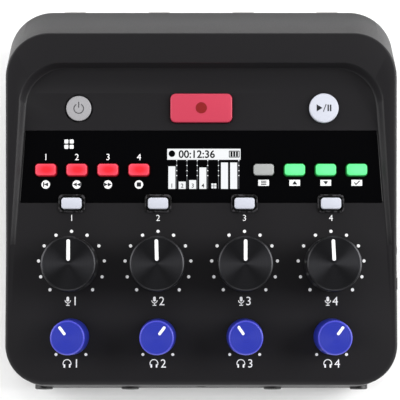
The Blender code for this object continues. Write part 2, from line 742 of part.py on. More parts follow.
def build_upper_case():
    case = add_piece("upper_case", housing_mesh(), textured_plastic())

    inside = tool_group("upper_case_inside")
    add_tool(inside, hollow_mesh())
    add_tool(inside, window_slab("window_pocket", 0, -WINDOW_POCKET, OVERRUN), PANEL)
    shape_with(case, inside, "DIFFERENCE")

    added = tool_group("upper_case_added")
    bezel_height = PANEL_WALL - CLEARANCE + MUTE_BEZEL_HEIGHT
    bezel = block("mute_bezel", MUTE_BEZEL_WIDTH, MUTE_BEZEL_DEPTH, bezel_height, BUTTON_CORNER)
    for x in COLUMNS:
        add_tool(added, bezel, PANEL, (x, MUTE_ROW, MUTE_BEZEL_HEIGHT - bezel_height))
    bottom = -CONTROL_BOARD_DROP + CLEARANCE
    boss = drum("board_boss", BOSS_RADIUS, -PANEL_WALL / 2 - bottom - WINDOW_POCKET / 2, HIDDEN_STEPS)
    for x, row in boss_places():
        add_tool(added, boss, PANEL, (x, row, bottom))
    post_bottom = FLOOR_HEIGHT + CLEARANCE
    for x, y in POST_PLACES:
        post = drum("case_post", POST_RADIUS, panel_height(y) - PANEL_WALL / 2 - post_bottom, HIDDEN_STEPS)
        add_tool(added, post, None, (x, y, post_bottom))
    shape_with(case, added, "UNION")

    holes = tool_group("upper_case_holes")
    add_panel_cuts(holes)
    add_wall_cuts(holes)
    pilot = drum("pilot_hole", PILOT_RADIUS, PILOT_DEPTH + OVERRUN, HIDDEN_STEPS)
    for x, y in POST_PLACES:
        add_tool(holes, pilot, None, (x, y, post_bottom - OVERRUN))
    shape_with(case, holes, "DIFFERENCE")


def standoff_places():
    x = COLUMNS[-1]
    front = FRONT_Y + 2 * SIDE_WALL + FRONT_CORNER
    rear = REAR_Y - REAR_CORNER
    return [(side * x, y) for side in (-1, 1) for y in (front, rear)] + [(0, front), (0, rear)]


def tray_mesh():
    """The lower case before it is cut: chamfered bottom, wall, tongue and inner floor."""
    wall_top = PARTING_HEIGHT - CLEARANCE
    tongue = SIDE_WALL + CLEARANCE
    inner = tongue + TONGUE_THICKNESS
    return loft(
        "lower_case",
        [
            (plan_outline(BOTTOM_CHAMFER, REAR_Y), UNDERSIDE_HEIGHT),
            (plan_outline(0, REAR_Y), UNDERSIDE_HEIGHT + BOTTOM_CHAMFER),
            (plan_outline(0, REAR_Y), wall_top),
            (plan_outline(tongue, REAR_Y), wall_top),
            (plan_outline(tongue, REAR_Y), wall_top + TONGUE_HEIGHT),
            (plan_outline(inner, REAR_Y), wall_top + TONGUE_HEIGHT),
            (plan_outline(inner, REAR_Y), FLOOR_HEIGHT),
        ],
    )


def foot_places():
    x = BODY_WIDTH / 2 - FOOT_INSET
    y = BODY_DEPTH / 2 - FOOT_INSET
    return [(-x, -y), (x, -y), (-x, y), (x, y)]


def lug_level():
    return DOOR_TOP + LUG_LIFT


def build_lower_case():
    case = add_piece("lower_case", tray_mesh(), textured_plastic())

    added = tool_group("lower_case_added")
    base = FLOOR_HEIGHT - FLOOR_WALL / 2
    box = block(
        "battery_box",
        2 * (BOX_HALF_WIDTH + BOX_WALL),
        2 * (BOX_HALF_LENGTH + BOX_WALL),
        BOX_CEILING + BOX_ROOF - base,
    )
    add_tool(added, box, None, (0, BOX_Y, base))
    standoff = drum("standoff", STANDOFF_RADIUS, FLOOR_WALL / 2 + STANDOFF_HEIGHT, HIDDEN_STEPS)
    for x, y in standoff_places():
        add_tool(added, standoff, None, (x, y, base))
    shape_with(case, added, "UNION")

    cuts = tool_group("lower_case_cuts")
    below = UNDERSIDE_HEIGHT - OVERRUN
    cavity = block("battery_space", 2 * BOX_HALF_WIDTH, 2 * BOX_HALF_LENGTH, BOX_CEILING - below)
    add_tool(cuts, cavity, None, (0, BOX_Y, below))
    door = block(
        "door_recess",
        2 * (BOX_HALF_WIDTH + DOOR_LEDGE),
        2 * (BOX_HALF_LENGTH + DOOR_LEDGE),
        DOOR_THICKNESS + CLEARANCE + OVERRUN,
    )
    add_tool(cuts, door, None, (0, BOX_Y, below))
    slot = block(
        "lug_slot",
        LUG_WIDTH + 2 * CLEARANCE,
        LUG_REACH + 2 * CLEARANCE,
        LUG_THICKNESS + 2 * CLEARANCE,
    )
    slot_y = BOX_Y + BOX_HALF_LENGTH + LUG_REACH / 2
    for side in (-1, 1):
        add_tool(cuts, slot, None, (side * LUG_SIDE, slot_y, lug_level() - CLEARANCE))
    scoop = drum("door_scoop", SCOOP_WIDTH / 2, SCOOP_DEPTH + OVERRUN)
    scoop_y = BOX_Y - BOX_HALF_LENGTH - DOOR_LEDGE - SCOOP_LENGTH + SCOOP_WIDTH / 2
    add_tool(cuts, scoop, None, (0, scoop_y, below))
    pocket = drum("foot_pocket", FOOT_RADIUS + CLEARANCE, FOOT_SEAT_DEPTH + CLEARANCE + OVERRUN)
    for x, y in foot_places():
        add_tool(cuts, pocket, None, (x, y, below))
    hole = drum("screw_hole", SCREW_HOLE_RADIUS, FLOOR_WALL + 2 * OVERRUN, HIDDEN_STEPS)
    head = drum("screw_head_seat", SCREW_HEAD_RADIUS, SCREW_HEAD_DEPTH + OVERRUN)
    for x, y in POST_PLACES:
        add_tool(cuts, hole, None, (x, y, below))
        add_tool(cuts, head, None, (x, y, below))
    shape_with(case, cuts, "DIFFERENCE")


def build_feet():
    rubber = finish("black_rubber", (0.02, 0.02, 0.02), 0.85)
    height = UNDERSIDE_HEIGHT + FOOT_SEAT_DEPTH
    mesh = drum("foot", FOOT_RADIUS, height)
    for k, (x, y) in enumerate(foot_places(), 1):
        add_piece(f"foot_{k}", mesh, rubber, None, (x, y, 0))


def build_battery_door():
    """The door swings on the edge of its rear end; two lugs reach into slots over that edge."""
    width = 2 * (BOX_HALF_WIDTH + DOOR_LEDGE - CLEARANCE)
    length = 2 * (BOX_HALF_LENGTH + DOOR_LEDGE - CLEARANCE)
    hinge = bpy.data.objects.new("battery_door_hinge", None)
    hinge.location = (0, BOX_Y + length / 2, UNDERSIDE_HEIGHT)
    PARTS.objects.link(hinge)
    plate = block("battery_door", width, length, DOOR_THICKNESS)
    door = add_piece("battery_door", plate, textured_plastic(), hinge, (0, -length / 2, 0))

    lugs = tool_group("battery_door_lugs")
    bottom = DOOR_THICKNESS / 2
    top = lug_level() - UNDERSIDE_HEIGHT + LUG_THICKNESS
    root_rear = BOX_HALF_LENGTH - CLEARANCE - length / 2
    root = block("lug_root", LUG_WIDTH, LUG_ROOT, top - bottom)
    reach = block("lug_hook", LUG_WIDTH, LUG_ROOT + LUG_REACH, LUG_THICKNESS)
    for side in (-1, 1):
        x = side * LUG_SIDE
        add_tool(lugs, root, hinge, (x, root_rear - LUG_ROOT / 2, bottom))
        at = (x, root_rear + (LUG_REACH - LUG_ROOT) / 2, top - LUG_THICKNESS)
        add_tool(lugs, reach, hinge, at)
    shape_with(door, lugs, "UNION")


def build_battery_contacts():
    """One strip at each end of the box: springs in front, flat buttons behind."""
    strip_width = 2 * BOX_HALF_WIDTH - 4 * CLEARANCE
    middle = (DOOR_TOP + BOX_CEILING) / 2
    places = [(k - (CELL_COUNT - 1) / 2) * CELL_DIAMETER for k in range(CELL_COUNT)]
    ends = (
        ("battery_contact_front", FACING_REAR, -1, SPRING_LENGTH, SPRING_RADIUS, SPRING_TIP_RADIUS),
        ("battery_contact_rear", FACING_FRONT, 1, BUTTON_CONTACT_LENGTH, SPRING_RADIUS, SPRING_RADIUS),
    )
    for name, facing, side, length, radius, tip in ends:
        y = BOX_Y + side * (BOX_HALF_LENGTH - CLEARANCE)
        strip = block(name, strip_width, CONTACT_HEIGHT, CONTACT_THICKNESS)
        piece = add_piece(name, strip, plated_metal(), None, (0, y, middle), facing)
        group = tool_group(f"{name}_tips")
        root = CONTACT_THICKNESS / 2
        cone = drum(f"{name}_tip", radius, length + CONTACT_THICKNESS - root, HIDDEN_STEPS, tip)
        for x in places:
            start = y - side * root
            add_tool(group, cone, None, (x, start, middle), facing)
        shape_with(piece, group, "UNION")


def io_board_outline():
    inset = SIDE_WALL + CLEARANCE + TONGUE_THICKNESS + IO_BOARD_EDGE_GAP
    return plan_outline(inset, REAR_Y)


def build_io_board():
    """The flat board that carries the sockets, open round the battery box and the case posts."""
    mesh = loft(
        "io_board", [(io_board_outline(), IO_BOARD_HEIGHT), (io_board_outline(), IO_BOARD_TOP)]
    )
    board = add_piece("io_board", mesh, solder_mask())
    cuts = tool_group("io_board_cuts")
    gap = 2 * (BOX_WALL + IO_BOARD_EDGE_GAP)
    bottom = IO_BOARD_HEIGHT - OVERRUN
    height = BOARD_THICKNESS + 2 * OVERRUN
    box = block("battery_box_gap", 2 * BOX_HALF_WIDTH + gap, 2 * BOX_HALF_LENGTH + gap, height)
    add_tool(cuts, box, None, (0, BOX_Y, bottom))
    post = drum("post_gap", POST_RADIUS + IO_BOARD_EDGE_GAP, height, HIDDEN_STEPS)
    for x, y in POST_PLACES:
        add_tool(cuts, post, None, (x, y, bottom))
    shape_with(board, cuts, "DIFFERENCE")


def slider_level():
    """Lower face of the slide switch's knob, in the panel frame."""
    return -CONTROL_BOARD_DROP - BOARD_THICKNESS - SLIDE_BODY_HEIGHT / 2 - SLIDER_HEIGHT / 2


def button_places():
    """Name stem, x and row of every button."""
    places = [("record_button", 0, TOP_ROW)]
    places.append(("power_button", -ROUND_BUTTON_SIDE, TOP_ROW))
    places.append(("play_button", ROUND_BUTTON_SIDE, TOP_ROW))
    for k in range(COLUMN_COUNT):
        places.append((f"pad_button_{k + 1}", KEYS_LEFT[k], KEY_ROW))
        places.append((f"function_button_{k + 1}", KEYS_RIGHT[k], KEY_ROW))
        places.append((f"mute_button_{k + 1}", COLUMNS[k], MUTE_ROW))
    return places


def build_control_board():
    """The board under the panel, with a tact switch below each button and the side switch's body."""
    half = POST_X - POST_RADIUS - IO_BOARD_EDGE_GAP
    front = VOLUME_ROW - CONTROL_BOARD_FRONT_MARGIN
    rear = TOP_ROW + CONTROL_BOARD_REAR_MARGIN
    bottom = -CONTROL_BOARD_DROP - BOARD_THICKNESS
    plate = block("control_board", 2 * half, rear - front, BOARD_THICKNESS)
    board = add_piece("control_board", plate, solder_mask(), PANEL, (0, (front + rear) / 2, bottom))
    added = tool_group("control_board_switches")
    root = -CONTROL_BOARD_DROP - BOARD_THICKNESS / 2
    switch = block("tact_switch", SWITCH_SIDE, SWITCH_SIDE, SWITCH_HEIGHT + BOARD_THICKNESS / 2)
    plunger = block("plunger", PLUNGER_SIDE, PLUNGER_SIDE, SWITCH_HEIGHT / 2 + PLUNGER_HEIGHT)
    for _, x, row in button_places():
        add_tool(added, switch, PANEL, (x, row, root))
        add_tool(added, plunger, PANEL, (x, row, -CONTROL_BOARD_DROP + SWITCH_HEIGHT / 2))
    outer = INNER_HALF_WIDTH - SLIDE_BODY_GAP
    body = block(
        "slide_switch_body",
        SLIDE_BODY_WIDTH,
        SLIDE_BODY_LENGTH,
        SLIDE_BODY_HEIGHT + BOARD_THICKNESS / 2,
    )
    at = (outer - SLIDE_BODY_WIDTH / 2, SLIDER_ROW - SLIDER_TRAVEL / 2, bottom - SLIDE_BODY_HEIGHT)
    add_tool(added, body, PANEL, at)
    shape_with(board, added, "UNION")


def build_side_switch():
    """The knob of the slide switch, at the rear end of its travel."""
    inner = INNER_HALF_WIDTH - SLIDE_BODY_GAP + CLEARANCE
    outer = BODY_WIDTH / 2 + SLIDER_PROUD
    mesh = block("side_switch", outer - inner, SLIDER_LENGTH, SLIDER_HEIGHT)
    add_piece(
        "side_switch",
        mesh,
        socket_plastic(),
        PANEL,
        ((inner + outer) / 2, SLIDER_ROW, slider_level()),
    )


def build_window():
    """The glossy strip, flush with the panel, with holes for the keys and notches for the bezels."""
    gloss = finish("gloss_black_acrylic", (0.006, 0.005, 0.006), 0.05)
    window = add_piece(
        "display_window", window_slab("display_window", CLEARANCE, -WINDOW_THICKNESS, 0), gloss, PANEL
    )
    cuts = tool_group("display_window_cuts")
    key = through_block("window_key_hole", KEY_WIDTH, KEY_DEPTH, BUTTON_CORNER)
    for x, row in key_places():
        panel_cut(cuts, key, x, row)
    bezel = through_block("bezel_notch", MUTE_BEZEL_WIDTH, MUTE_BEZEL_DEPTH, BUTTON_CORNER)
    for x in COLUMNS:
        panel_cut(cuts, bezel, x, MUTE_ROW)
    shape_with(window, cuts, "DIFFERENCE")


def build_display():
    glass = finish("display_glass", (0.01, 0.01, 0.012), 0.1)
    bottom = -CONTROL_BOARD_DROP + CLEARANCE
    mesh = block("display_module", DISPLAY_WIDTH, DISPLAY_DEPTH, -WINDOW_POCKET - bottom)
    add_piece("display_module", mesh, glass, PANEL, (DISPLAY_X, DISPLAY_ROW, bottom))


def build_pot(name, x, row):
    """A potentiometer's housing, with the bore that the shaft turns in."""
    bottom = -CONTROL_BOARD_DROP + CLEARANCE
    height = FLANGE_TOP - bottom
    pot = add_piece(
        name,
        block(name, POT_SIDE, POT_SIDE, height),
        finish("pot_housing", (0.12, 0.16, 0.1), 0.5),
        PANEL,
        (x, row, bottom),
    )
    bore = tool_group(f"{name}_bore")
    depth = SHAFT_DEPTH + POT_BORE_SPARE
    at = (x, row, -depth)
    add_tool(bore, drum(f"{name}_bore", SHAFT_RADIUS + CLEARANCE, depth), PANEL, at)
    shape_with(pot, bore, "DIFFERENCE")


def knob_profile(top_radius, skirt_radius, height, chamfer, wall, cap):
    """A knob with a hollow skirt round its boss, and the shaft that it turns with."""
    boss = SHAFT_RADIUS + KNOB_BOSS_WALL
    inner_top = top_radius - wall
    inner_skirt = skirt_radius - wall
    return [
        (0, height),
        (top_radius - chamfer, height),
        (top_radius, height - chamfer),
        (skirt_radius, KNOB_LIFT),
        (inner_skirt, KNOB_LIFT),
        (inner_top, height - cap),
        (boss, height - cap),
        (boss, KNOB_LIFT + CLEARANCE),
        (SHAFT_RADIUS, KNOB_LIFT + CLEARANCE),
        (SHAFT_RADIUS, -SHAFT_DEPTH),
        (0, -SHAFT_DEPTH),
    ]


def add_pointer_groove(knob, name, width, inner, outer, height):
    group = tool_group(f"{name}_pointer")
    groove = block(f"{name}_pointer", width, outer - inner, POINTER_DEPTH + OVERRUN)
    add_tool(group, groove, knob, (0, (inner + outer) / 2, height - POINTER_DEPTH))
    shape_with(knob, group, "DIFFERENCE")


def build_gain_knob(k, x):
    profile = knob_profile(
        GAIN_TOP_RADIUS, GAIN_SKIRT_RADIUS, GAIN_HEIGHT, GAIN_CHAMFER, GAIN_WALL, GAIN_CAP
    )
    name = f"gain_knob_{k}"
    knob = add_piece(name, turned(name, profile), knob_plastic(), PANEL, (x, GAIN_ROW, 0))
    spin(knob, GAIN_STEPS)
    add_pointer_groove(
        knob, name, GAIN_POINTER_WIDTH, GAIN_POINTER_INNER, GAIN_POINTER_OUTER, GAIN_HEIGHT
    )


def build_volume_knob(k, x):
    profile = knob_profile(
        VOLUME_TOP_RADIUS,
        VOLUME_SKIRT_RADIUS,
        VOLUME_HEIGHT,
        VOLUME_CHAMFER,
        VOLUME_WALL,
        VOLUME_CAP,
    )
    name = f"volume_knob_{k}"
    turn = (0, 0, VOLUME_POINTER_ANGLES[k - 1])
    knob = add_piece(name, turned(name, profile), blue_plastic(), PANEL, (x, VOLUME_ROW, 0), turn)
    spin(knob, VOLUME_STEPS)
    add_pointer_groove(
        knob, name, VOLUME_POINTER_WIDTH, VOLUME_POINTER_INNER, VOLUME_POINTER_OUTER, VOLUME_HEIGHT
    )


def build_knobs():
    for k, x in enumerate(COLUMNS, 1):
        build_pot(f"gain_pot_{k}", x, GAIN_ROW)
        build_gain_knob(k, x)
        build_pot(f"volume_pot_{k}", x, VOLUME_ROW)
        build_volume_knob(k, x)


def block_button_mesh(name, width, depth, corner, height, rounding, steps=1):
    """A cap with a flange under the panel and a stem over the switch."""
    flange = 2 * (CLEARANCE + BUTTON_FLANGE)
    stem = rounded_rectangle(BUTTON_STEM, BUTTON_STEM, BUTTON_CORNER, steps)
    wide = rounded_rectangle(width + flange, depth + flange, corner, steps)
    cap = rounded_rectangle(width, depth, corner, steps)
    top = rounded_rectangle(width - 2 * rounding, depth - 2 * rounding, corner, steps)
    bottom = FLANGE_TOP - BUTTON_FLANGE_THICKNESS
    return loft(
        name,
        [
            (stem, STEM_BOTTOM),
            (stem, bottom),
            (wide, bottom),
            (wide, FLANGE_TOP),
            (cap, FLANGE_TOP),
            (cap, height - rounding),
            (top, height),
        ],
    )


def round_button_profile(radius, height):
    flange = radius + CLEARANCE + BUTTON_FLANGE
    bottom = FLANGE_TOP - BUTTON_FLANGE_THICKNESS
    return [
        (0, height),
        (radius - BUTTON_ROUND, height),
        (radius, height - BUTTON_ROUND),
        (radius, FLANGE_TOP),
        (flange, FLANGE_TOP),
        (flange, bottom),
        (BUTTON_STEM / 2, bottom),
        (BUTTON_STEM / 2, STEM_BOTTOM),
        (0, STEM_BOTTOM),
    ]


def build_buttons():
    red = finish("lit_red_silicone", (0.85, 0.02, 0.05), 0.4)
    green = finish("lit_green_silicone", (0.2, 0.9, 0.35), 0.4)
    grey = finish("grey_silicone", (0.48, 0.48, 0.48), 0.45)
    white = finish("white_silicone", (0.76, 0.77, 0.86), 0.45)
    coral = finish("coral_silicone", (0.76, 0.06, 0.11), 0.4)
    key = (KEY_WIDTH, KEY_DEPTH, BUTTON_CORNER, KEY_HEIGHT, BUTTON_ROUND)
    mute = (KEY_WIDTH, KEY_DEPTH, BUTTON_CORNER, MUTE_HEIGHT, BUTTON_ROUND)
    record = (
        RECORD_WIDTH, RECORD_DEPTH, RECORD_CORNER, RECORD_HEIGHT, RECORD_ROUND, RECORD_CORNER_STEPS
    )
    round_sizes = {
        "power_button": (POWER_RADIUS, POWER_HEIGHT),
        "play_button": (PLAY_RADIUS, PLAY_HEIGHT),
    }
    block_sizes = {"record": (record, coral), "pad": (key, red), "mute": (mute, white)}
    for name, x, row in button_places():
        if name in round_sizes:
            mesh = turned(name, round_button_profile(*round_sizes[name]))
            material = grey if name == "power_button" else white
            spin(add_piece(name, mesh, material, PANEL, (x, row, 0)), ROUND_BUTTON_STEPS)
            continue
        lit = grey if name == "function_button_1" else green
        sizes, material = block_sizes.get(name.split("_")[0], (key, lit))
        add_piece(name, block_button_mesh(name, *sizes), material, PANEL, (x, row, 0))


def xlr_profile():
    """Half section of the socket, its face at zero and its back below."""
    shoulder = -XLR_PROUD - SIDE_WALL - XLR_SHOULDER_GAP
    return [
        (0, -XLR_INSERT_SETBACK),
        (XLR_INSERT_RADIUS, -XLR_INSERT_SETBACK),
        (XLR_INSERT_RADIUS, -XLR_BORE_DEPTH),
        (XLR_BORE_RADIUS, -XLR_BORE_DEPTH),
        (XLR_BORE_RADIUS, 0),
        (XLR_NOSE_RADIUS, 0),
        (XLR_NOSE_RADIUS, shoulder),
        (XLR_BODY_RADIUS, shoulder),
        (XLR_BODY_RADIUS, -XLR_LENGTH),
        (0, -XLR_LENGTH),
    ]


def build_xlr(k, x):
    """A female socket with three pin holes, notched at the top for its latch."""
    name = f"xlr_socket_{k}"
    at = (x, XLR_FACE_Y, XLR_AXIS_HEIGHT)
    socket = add_piece(name, turned(name, xlr_profile()), socket_plastic(), None, at, FACING_REAR)
    spin(socket, XLR_STEPS)
    cuts = tool_group(f"{name}_cuts")
    pin = drum("pin_hole", XLR_PIN_RADIUS, XLR_PIN_DEPTH + OVERRUN, HIDDEN_STEPS)
    for angle in (0, math.pi, math.pi / 2):
        px = XLR_PIN_CIRCLE * math.cos(angle)
        pz = XLR_PIN_CIRCLE * math.sin(angle)
        add_tool(cuts, pin, socket, (px, pz, -XLR_INSERT_SETBACK - XLR_PIN_DEPTH))
    slot_length = LATCH_LENGTH + LATCH_TRAVEL + CLEARANCE + OVERRUN
    slot = latch_slot("latch_notch", slot_length)
    level = LATCH_FROM_AXIS + LATCH_HEIGHT / 2
    add_tool(cuts, slot, socket, (0, -level, OVERRUN - slot_length))
    shape_with(socket, cuts, "DIFFERENCE")

    latch = block(f"xlr_latch_{k}", LATCH_WIDTH, LATCH_HEIGHT, LATCH_LENGTH)
    latch_at = (x, XLR_FACE_Y + LATCH_PROUD - LATCH_LENGTH, XLR_AXIS_HEIGHT + level)
    add_piece(f"xlr_latch_{k}", latch, plated_metal(), None, latch_at, FACING_REAR)


def build_jack(name, at, facing, collar_radius, collar_length):
    """A small jack whose face is at the given place, with its body behind it."""
    body = block(name, JACK_WIDTH, JACK_HEIGHT, JACK_LENGTH)
    piece = add_piece(name, body, socket_plastic(), None, at, facing)
    # The mesh's own base is moved down, so that the piece's origin stays at the centre of its face.
    body.transform(Matrix.Translation((0, 0, -JACK_LENGTH - collar_length)))
    added = tool_group(f"{name}_collar")
    root = JACK_LENGTH / 2
    collar = drum(f"{name}_collar", collar_radius, collar_length + root)
    add_tool(added, collar, piece, (0, 0, -collar_length - root))
    shape_with(piece, added, "UNION")
    cuts = tool_group(f"{name}_bore")
    bore = drum(f"{name}_bore", JACK_BORE_RADIUS, JACK_BORE_DEPTH + OVERRUN)
    add_tool(cuts, bore, piece, (0, 0, -JACK_BORE_DEPTH))
    shape_with(piece, cuts, "DIFFERENCE")


def build_jacks():
    length = JACK_PROUD + SIDE_WALL + JACK_SETBACK
    for k, x in enumerate(JACK_PLACES, 1):
        at = (x, FRONT_Y - JACK_PROUD, jack_axis_height())
        build_jack(f"headphone_jack_{k}", at, FACING_FRONT, JACK_COLLAR_RADIUS, length)
    y, z = side_jack_place()
    at = (BODY_WIDTH / 2 + SIDE_JACK_PROUD, y, z)
    length = SIDE_JACK_PROUD + SIDE_WALL + CLEARANCE
    build_jack("side_jack", at, FACING_RIGHT, SIDE_JACK_COLLAR_RADIUS, length)


def build_usb_socket():
    """A folded metal shell with a contact tongue, open towards the left."""
    outer = -BODY_WIDTH / 2 + USB_SETBACK
    y = FRONT_Y + USB_FROM_FRONT
    round_end = USB_HEIGHT / 2 - USB_SHELL
    name = "usb_socket"
    outline = rounded_rectangle(USB_HEIGHT, USB_WIDTH, round_end, USB_CORNER_STEPS)
    shell = loft(name, [(outline, -USB_LENGTH), (outline, 0)])
    at = (outer, y, IO_SEAT + USB_HEIGHT / 2)
    socket = add_piece(name, shell, plated_metal(), None, at, FACING_LEFT)
    cuts = tool_group("usb_socket_cuts")
    inner_width = USB_WIDTH - 2 * USB_SHELL
    inner_height = USB_HEIGHT - 2 * USB_SHELL
    cavity = block("usb_space", inner_height, inner_width, USB_LENGTH - USB_BACK + OVERRUN)
    add_tool(cuts, cavity, socket, (0, 0, USB_BACK - USB_LENGTH))
    shape_with(socket, cuts, "DIFFERENCE")
    added = tool_group("usb_socket_tongue")
    tongue = block("usb_tongue", USB_TONGUE_HEIGHT, USB_TONGUE_WIDTH, USB_LENGTH - USB_BACK)
    add_tool(added, tongue, socket, (0, 0, USB_BACK / 2 - USB_LENGTH))
    shape_with(socket, added, "UNION")


def build_card_socket():
    outer = -INNER_HALF_WIDTH + CLEARANCE
    y = FRONT_Y + CARD_FROM_FRONT
    at = (outer, y, IO_SEAT + CARD_SOCKET_HEIGHT / 2)
    body = block("card_socket", CARD_SOCKET_HEIGHT, CARD_SOCKET_WIDTH, CARD_SOCKET_LENGTH)
    body.transform(Matrix.Translation((0, 0, -CARD_SOCKET_LENGTH)))
    socket = add_piece("card_socket", body, plated_metal(), None, at, FACING_LEFT)
    cuts = tool_group("card_socket_cuts")
    slot = block("card_space", CARD_SLOT_HEIGHT, CARD_SLOT_WIDTH, CARD_SLOT_LENGTH + OVERRUN)
    add_tool(cuts, slot, socket, (0, 0, -CARD_SLOT_LENGTH))
    shape_with(socket, cuts, "DIFFERENCE")


def main():
    build_upper_case()
    build_lower_case()
    build_feet()
    build_battery_door()
    build_battery_contacts()
    build_io_board()
    build_control_board()
    build_side_switch()
    build_window()
    build_display()
    build_knobs()
    build_buttons()
    for k, x in enumerate(COLUMNS, 1):
        build_xlr(k, x)
    build_jacks()
    build_usb_socket()
    build_card_socket()


main()
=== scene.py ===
"""Looks of a desktop podcast recorder with four microphone channels.

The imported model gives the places, and this script adds finely shaped pieces, materials, light and a
camera. Lengths are in metres, +Z is up and the front faces -Y. Places on the control panel are given
in the panel's own frame: x to the right, row towards the rear, height along the panel's normal.
"""

import json
import math

import bmesh
import bpy
from mathutils import Matrix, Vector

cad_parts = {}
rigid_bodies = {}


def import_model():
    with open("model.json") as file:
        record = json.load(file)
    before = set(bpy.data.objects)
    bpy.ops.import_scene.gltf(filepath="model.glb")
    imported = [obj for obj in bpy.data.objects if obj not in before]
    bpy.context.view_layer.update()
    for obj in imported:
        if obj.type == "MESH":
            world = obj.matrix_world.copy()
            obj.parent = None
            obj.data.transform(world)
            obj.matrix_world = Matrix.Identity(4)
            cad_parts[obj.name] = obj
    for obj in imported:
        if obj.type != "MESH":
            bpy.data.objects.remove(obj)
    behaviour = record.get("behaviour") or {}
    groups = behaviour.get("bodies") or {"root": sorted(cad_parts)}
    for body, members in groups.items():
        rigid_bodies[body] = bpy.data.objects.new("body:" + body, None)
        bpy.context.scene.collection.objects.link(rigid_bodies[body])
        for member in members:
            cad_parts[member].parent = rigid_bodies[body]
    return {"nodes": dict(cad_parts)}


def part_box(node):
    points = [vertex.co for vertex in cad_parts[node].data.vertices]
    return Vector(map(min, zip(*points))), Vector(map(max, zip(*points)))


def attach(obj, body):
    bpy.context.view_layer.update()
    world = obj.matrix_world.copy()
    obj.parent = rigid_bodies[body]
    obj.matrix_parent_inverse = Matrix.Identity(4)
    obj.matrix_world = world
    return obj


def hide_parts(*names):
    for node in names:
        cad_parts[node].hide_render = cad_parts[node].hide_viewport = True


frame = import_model()

bl_info = {
    "name": "Podcast recorder looks",
    "version": (1, 0, 0),
    "blender": (4, 5, 0),
    "location": "3D View > Sidebar > Recorder",
    "description": "Finished pieces, materials, light and camera for a packed podcast recorder",
    "category": "Object",
}

MM = 0.001
CASE_LOW, CASE_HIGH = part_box("upper_case")
HALF_WIDTH = CASE_HIGH[0]
FRONT_Y = CASE_LOW[1]
REAR_Y = CASE_HIGH[1]
CLEARANCE = 0.3 * MM
OVERRUN = 2 * MM

# Housing
PANEL_TILT = math.radians(6.0)
RIM_TILT = math.radians(10.3)
FRONT_HEIGHT = 28.0 * MM
PANEL_Y = FRONT_Y + 66.5 * MM
BEND_Y = FRONT_Y + 50.4 * MM
TOP_REAR_Y = REAR_Y - 11.3 * MM
CREASE_FRONT_HEIGHT = 22.0 * MM
CREASE_REAR_HEIGHT = 33.0 * MM
PARTING_HEIGHT = 7.0 * MM
FRONT_CORNER = 14.5 * MM
REAR_CORNER = 16.0 * MM
SIDE_WALL = 2.2 * MM
PANEL_WALL = 2.6 * MM
CORNER_STEPS = 24
EDGE_STEPS = 5
FRONT_EDGE_SHARE = 2.2

# Recess in the raised rim
RECESS_RIM_HALF = HALF_WIDTH - 4.75 * MM
RECESS_REAR_Y = TOP_REAR_Y - 10.8 * MM
RECESS_RIM_CORNER = 14.0 * MM
RECESS_FLOOR_CORNER = 13.0 * MM
RECESS_SIDE_RUN = 2.55 * MM
RECESS_REAR_RUN = 1.1 * MM
RECESS_SPLAY = math.radians(3.9)
RECESS_STEPS = 8

# Control panel: columns and rows of the controls
COLUMNS = [-47.1 * MM, -15.7 * MM, 15.7 * MM, 47.1 * MM]
COLUMN_PITCH = COLUMNS[1] - COLUMNS[0]
GAIN_ROW = -23.4 * MM
VOLUME_ROW = -49.5 * MM
MUTE_ROW = -1.3 * MM
KEY_ROW = 11.0 * MM
TOP_ROW = 33.5 * MM
KEY_PITCH = 11.3 * MM
PADS = [-56.6 * MM + k * KEY_PITCH for k in range(4)]
FUNCTIONS = [22.7 * MM + k * KEY_PITCH for k in range(4)]
ROUND_BUTTON_X = 44.7 * MM

# Window strip
WINDOW_THICKNESS = 1.2 * MM
WINDOW_POCKET = WINDOW_THICKNESS + CLEARANCE
WINDOW_FRONT_ROW = -1.1 * MM
WINDOW_REAR_ROW = 25.4 * MM

# Buttons
KEY_WIDTH = 7.8 * MM
KEY_DEPTH = 4.6 * MM
KEY_HEIGHT = 1.4 * MM
MUTE_HEIGHT = 1.8 * MM
BEZEL_WIDTH = 9.6 * MM
BEZEL_DEPTH = 6.6 * MM
BEZEL_HEIGHT = 0.6 * MM
BEZEL_CORNER = 1.5 * MM
RECORD_WIDTH = 22.5 * MM
RECORD_DEPTH = 10.5 * MM
RECORD_CORNER = 2.0 * MM
RECORD_HEIGHT = 1.8 * MM
POWER_RADIUS = 4.55 * MM
POWER_HEIGHT = 0.4 * MM
POWER_DISH_RADIUS = 5.2 * MM
POWER_DISH_DEPTH = 0.8 * MM
PLAY_RADIUS = 5.35 * MM
PLAY_HEIGHT = 1.6 * MM
BUTTON_FOOT = 2.9 * MM
KEY_STEP = 0.25 * MM
KEY_FOOT_HEIGHT = 0.1 * MM

# Knobs
KNOB_LIFT = 0.8 * MM
SHAFT_RADIUS = 3.0 * MM
SHAFT_DEPTH = 6.5 * MM
SHAFT_HOLE_RADIUS = 3.5 * MM
GAIN_TOP_RADIUS = 9.85 * MM
GAIN_SKIRT_RADIUS = 9.9 * MM
GAIN_HEIGHT = 14.0 * MM
GAIN_CHAMFER = 0.7 * MM
VOLUME_TOP_RADIUS = 6.1 * MM
VOLUME_SKIRT_RADIUS = 6.6 * MM
VOLUME_HEIGHT = 16.0 * MM
VOLUME_CHAMFER = 0.5 * MM
VOLUME_ANGLES = [math.radians(a) for a in (37, -37, 34, -37)]
GAIN_ANGLES = [math.radians(a) for a in (0, 1.5, 0, 2.5)]
KNOB_STEPS = 128

